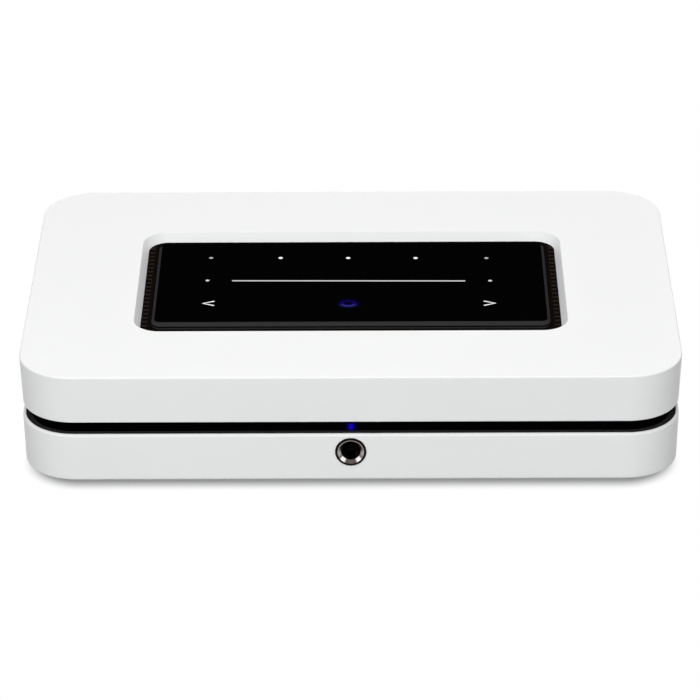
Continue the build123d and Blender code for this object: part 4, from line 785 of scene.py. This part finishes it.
miniParts, miniCuts, miniFront = [], [], mini["back"] - mini["length"]
miniRows = outlineRows(mini, [
    (2.5, miniFront, 0), (0, miniFront, 0.3), (0, mini["back"], 0.05), (2.5, mini["back"], 0)])
barrelFront = mini["back"] - mini["root"]
barrel = [(0.3, barrelFront, 0), (mini["barrel"], barrelFront, 0), (mini["barrel"], mini["face"], 0.3),
          (0.3, mini["face"], 0)]
mouth = [(mini["bore"], mini["face"] - mini["flareDeep"], 0),
         (mini["bore"] + mini["flare"], mini["face"] + mini["slack"], 0)]
for x in miniX:
    miniParts.append(ringMesh(miniRows, False, "y", (x, boardTop + mini["depth"] / 2)))
    miniParts.append(turnedMesh(barrel, "y", (x, mini["z"]), False, mini["steps"]))
    miniCuts.append(rod(mini["bore"], (x, mini["z"]), *mini["cut"], mini["steps"], "y"))
miniCuts += [turnedMesh(mouth, "y", (x, mini["z"]), False, mini["steps"]) for x in miniX]
addPiece("small_socket_bodies", miniParts, "black_plastic", ["mini_sockets"], cutters=miniCuts)
print("stage: rear sockets")

# Feet, screws, wound choke, capacitors and fuse

footProfile = [(0.5, foot["rise"], 0), (foot["groove"], foot["rise"], foot["small"]),
               (foot["groove"] + foot["step"], 0, foot["small"]), (foot["radius"], 0, foot["round"]),
               (foot["radius"], foot["top"], 0), (0.5, foot["top"], 0)]
pads = [turnedMesh(footProfile, "z", spot[:2], False, 64) for spot, size in footPads]
addPiece("foot_pads", pads, "black_rubber", ["rubber_feet"])

# radius, height and rounding of the head; reach, width and depth of its cross; core, crest and pitch of the thread
screws = {"case": {"head": 2.8, "high": 2.4, "round": 0.32, "cross": 3.2, "slot": 0.75, "deep": 1.4,
                   "thread": (1.2, 1.5, 0.8), "steps": 40},
          "small": {"head": 2.4, "high": 1.7, "round": 0.32, "cross": 2.8, "slot": 0.65, "deep": 1.0,
                    "thread": (0.98, 1.25, 0.6), "steps": 32}}


def screwMeshes(spot, height, screw, under):
    # a pan head rounded on its outer side, two crossed slots for the driver, and a thread 0.1 mm into the head
    x, y, z = spot
    outer, tip = (z - height / 2, z + height / 2) if under else (z + height / 2, z - height / 2)
    way = 1 if under else -1
    seat = outer + way * screw["high"]
    profile = [(0.15, outer, 0), (screw["head"], outer, screw["head"] * screw["round"]), (screw["head"], seat, 0),
               (0.15, seat, 0)]
    low, high = sorted((outer - way * 0.5, outer + way * screw["deep"]))
    cross = [prismMesh(boxOutline(*size, screw["slot"] / 3, x, y, 3), low, high)
             for size in ((screw["cross"], screw["slot"]), (screw["slot"], screw["cross"]))]
    points, faces = threadMesh(*screw["thread"], way * seat - 0.1, way * tip, x, y)
    return turnedMesh(profile, "z", (x, y), False, screw["steps"]), cross, (points * (1, 1, way), faces)


for kind, found in (("case", caseScrews), ("small", smallScrews)):
    heads, drives, shanks = [], [], []
    for spot, size in found:
        head, cross, shank = screwMeshes(spot, size[2], screws[kind], kind == "case" or spot[2] > case["low"])
        heads.append(head)
        drives += cross
        shanks.append(shank)
    addPiece(kind + "_screw_heads", heads, "screw_steel", [kind + "_screws"], cutters=drives)
    addPiece(kind + "_screw_threads", shanks, "screw_steel")

choke = {"outer": 5.5, "bore": 3.3, "round": 0.8, "wire": 0.3, "turns": 24, "half": (1.5, 3.1), "inset": 0.7}
low, middle, high = boxOf("filter_choke")
bottom, top = low[2] + choke["inset"], high[2] - choke["inset"]
chokeProfile = [(choke["bore"], middle[2], 0), (choke["bore"], bottom, choke["round"]),
                (choke["outer"], bottom, choke["round"]), (choke["outer"], top, choke["round"]),
                (choke["bore"], top, choke["round"]), (choke["bore"], middle[2] + 0.01, 0)]
addPiece("choke_ring", [turnedMesh(chokeProfile, "z", middle[:2])], "choke_green", ["filter_choke"])
wound = coilMesh(middle, (choke["outer"] + choke["bore"]) / 2, choke["half"], choke["turns"], choke["wire"])
addPiece("choke_wire", [wound], "copper_wire")

can = {"round": 0.5, "groove": 0.14, "half": 0.6, "deep": 0.5, "lid": 0.82, "sink": 0.3, "small": 0.12}
cans = []
for node in ("bulk_capacitor", "output_capacitors"):
    for (x, y, z), (width, depth, height) in islands(node):
        radius, low, high = width / 2, z - height / 2, z + height / 2
        groove, lid, sunk = low + can["groove"] * height, radius * can["lid"], high - can["sink"]
        profile = [(0.3, low, 0), (radius, low, can["round"]), (radius, groove - can["half"], 0.25),
                   (radius - can["deep"], groove, 0.3), (radius, groove + can["half"], 0.25),
                   (radius, high, can["round"]), (lid, high, can["small"]), (lid, sunk, can["small"]), (0.3, sunk, 0)]
        cans.append(turnedMesh(profile, "z", (x, y), False))
addPiece("capacitor_cans", cans, "can_sleeve", ["bulk_capacitor", "output_capacitors"])

fuse = {"cap": 5.0, "tube": 2.25, "round": 0.35, "overlap": 0.2}
low, middle, high = boxOf("fuse")
fuseRadius, fusePlace = (high[0] - low[0]) / 2, (middle[0], middle[2])
caps = []
for y, inner in ((low[1], low[1] + fuse["cap"]), (high[1], high[1] - fuse["cap"])):
    profile = [(0.3, y, 0), (fuseRadius, y, fuse["round"]), (fuseRadius, inner, 0.15), (0.3, inner, 0)]
    caps.append(turnedMesh(profile, "y", fusePlace, False, 48))
addPiece("fuse_caps", caps, "tin", ["fuse"])
front, rearEnd = low[1] + fuse["cap"] - fuse["overlap"], high[1] - fuse["cap"] + fuse["overlap"]
tube = [(0.3, front, 0), (fuse["tube"], front, 0), (fuse["tube"], rearEnd, 0), (0.3, rearEnd, 0)]
addPiece("fuse_tube", [turnedMesh(tube, "y", fusePlace, False, 48)], "white_plastic")
print("stage: feet, screws, choke, capacitors and fuse")

# Floor, light and camera


def seenByCamera(owner):
    # 1 for what the camera sees itself, in a reflection or through glass
    path = addNode(owner, "LightPath")
    seen = counted(owner, "ADD", path["Is Camera Ray"], path["Is Glossy Ray"])
    return counted(owner, "ADD", seen, path["Is Transmission Ray"], clamp=True)


# the floor is plain white to the camera, and keeps the shadow near the case: fade = distance from its outline
half = light["floorSize"] / 2
floor = rawObject("floor", [prismMesh([(-half, -half), (half, -half), (half, half), (-half, half)], -1.0, 0.0)])
floorLook = bpy.data.materials.new("pale_floor")
floorLook.use_nodes = True
inside = ((case["width"] / 2 - case["corner"] + light["side"]) * mm, (case["depth"] / 2 - case["corner"]) * mm, 1)
spot = addNode(floorLook, "TexCoord")["Object"]
for operation, *second in (("ABSOLUTE",), ("SUBTRACT", inside), ("MAXIMUM", (0, 0, 0))):
    spot = addNode(floorLook, "VectorMath", dict(enumerate((spot, *second))), operation=operation)["Vector"]
reach = addNode(floorLook, "VectorMath", {0: spot}, operation="LENGTH")["Value"]
fadeRange = {"From Min": light["fadeFrom"] * mm, "From Max": light["fadeTo"] * mm, "To Min": light["lift"],
             "Value": reach}
fade = addNode(floorLook, "MapRange", fadeRange, interpolation_type="SMOOTHSTEP")["Result"]
grey = addNode(floorLook, "BsdfDiffuse", {"Color": (light["floor"],) * 3 + (1,)})["BSDF"]
white = addNode(floorLook, "Emission", {"Strength": 1.0})["Emission"]
share = product(floorLook, seenByCamera(floorLook), fade)
shown = addNode(floorLook, "MixShader", {"Fac": share, 1: grey, 2: white})["Shader"]
feed(floorLook, floorLook.node_tree.nodes["Material Output"].inputs, {"Surface": shown})
floorLook.node_tree.nodes.remove(floorLook.node_tree.nodes["Principled BSDF"])
floor.data.materials.append(floorLook)

world = bpy.data.worlds.new("studio")
bpy.context.scene.world = world
world.use_nodes = True
world.node_tree.nodes.clear()
dim, bright = (addNode(world, "Background", {"Color": (1, 1, 1, 1), "Strength": strength})["Background"]
               for strength in (light["world"], 1.0))
sky = addNode(world, "MixShader", {"Fac": seenByCamera(world), 1: dim, 2: bright})["Shader"]
addNode(world, "OutputWorld", {"Surface": sky})


def softLamp(name, place, size, power, colour=(1, 1, 1)):
    # a square lamp that looks at the origin
    data = bpy.data.lights.new(name, "AREA")
    data.shape = "SQUARE"
    data.size = size
    data.energy = power
    data.color = colour
    lamp = bpy.data.objects.new(name, data)
    bpy.context.scene.collection.objects.link(lamp)
    lamp.location = place
    lamp.rotation_euler = (-Vector(place)).to_track_quat("-Z", "Y").to_euler()
    lamp.visible_glossy = False


softLamp("overhead", (-0.12, -0.1, 1.3), light["size"], light["top"])
softLamp("rear", (0.35, 1.3, 0.8), light["size"], light["rear"])
softLamp("front", (-0.12, -1.3, 0.95), light["frontSize"], light["front"], light["frontColour"])

pitch, yaw, roll = (math.radians(photo[key]) for key in ("pitch", "yaw", "roll"))
forward = np.array((math.sin(yaw) * math.cos(pitch), math.cos(yaw) * math.cos(pitch), -math.sin(pitch)))
right = np.array((math.cos(yaw), -math.sin(yaw), 0))
upward = np.cross(right, forward)
sideways = math.cos(roll) * right + math.sin(roll) * upward
upright = math.cos(roll) * upward - math.sin(roll) * right
eye = (np.array(photo["target"]) - forward * photo["distance"]) * mm
cameraData = bpy.data.cameras.new("camera")
cameraData.sensor_width = 36.0
cameraData.lens = photo["focal"] / photo["width"] * cameraData.sensor_width
cameraData.clip_end = 20
camera = bpy.data.objects.new("camera", cameraData)
bpy.context.scene.collection.objects.link(camera)
turned = np.eye(4)
turned[:3, 0], turned[:3, 1], turned[:3, 2], turned[:3, 3] = sideways, upright, -forward, eye
camera.matrix_world = Matrix(turned.tolist())
bpy.context.scene.camera = camera
bpy.context.scene.view_settings.view_transform = "Standard"
print("stage: floor, light and camera")
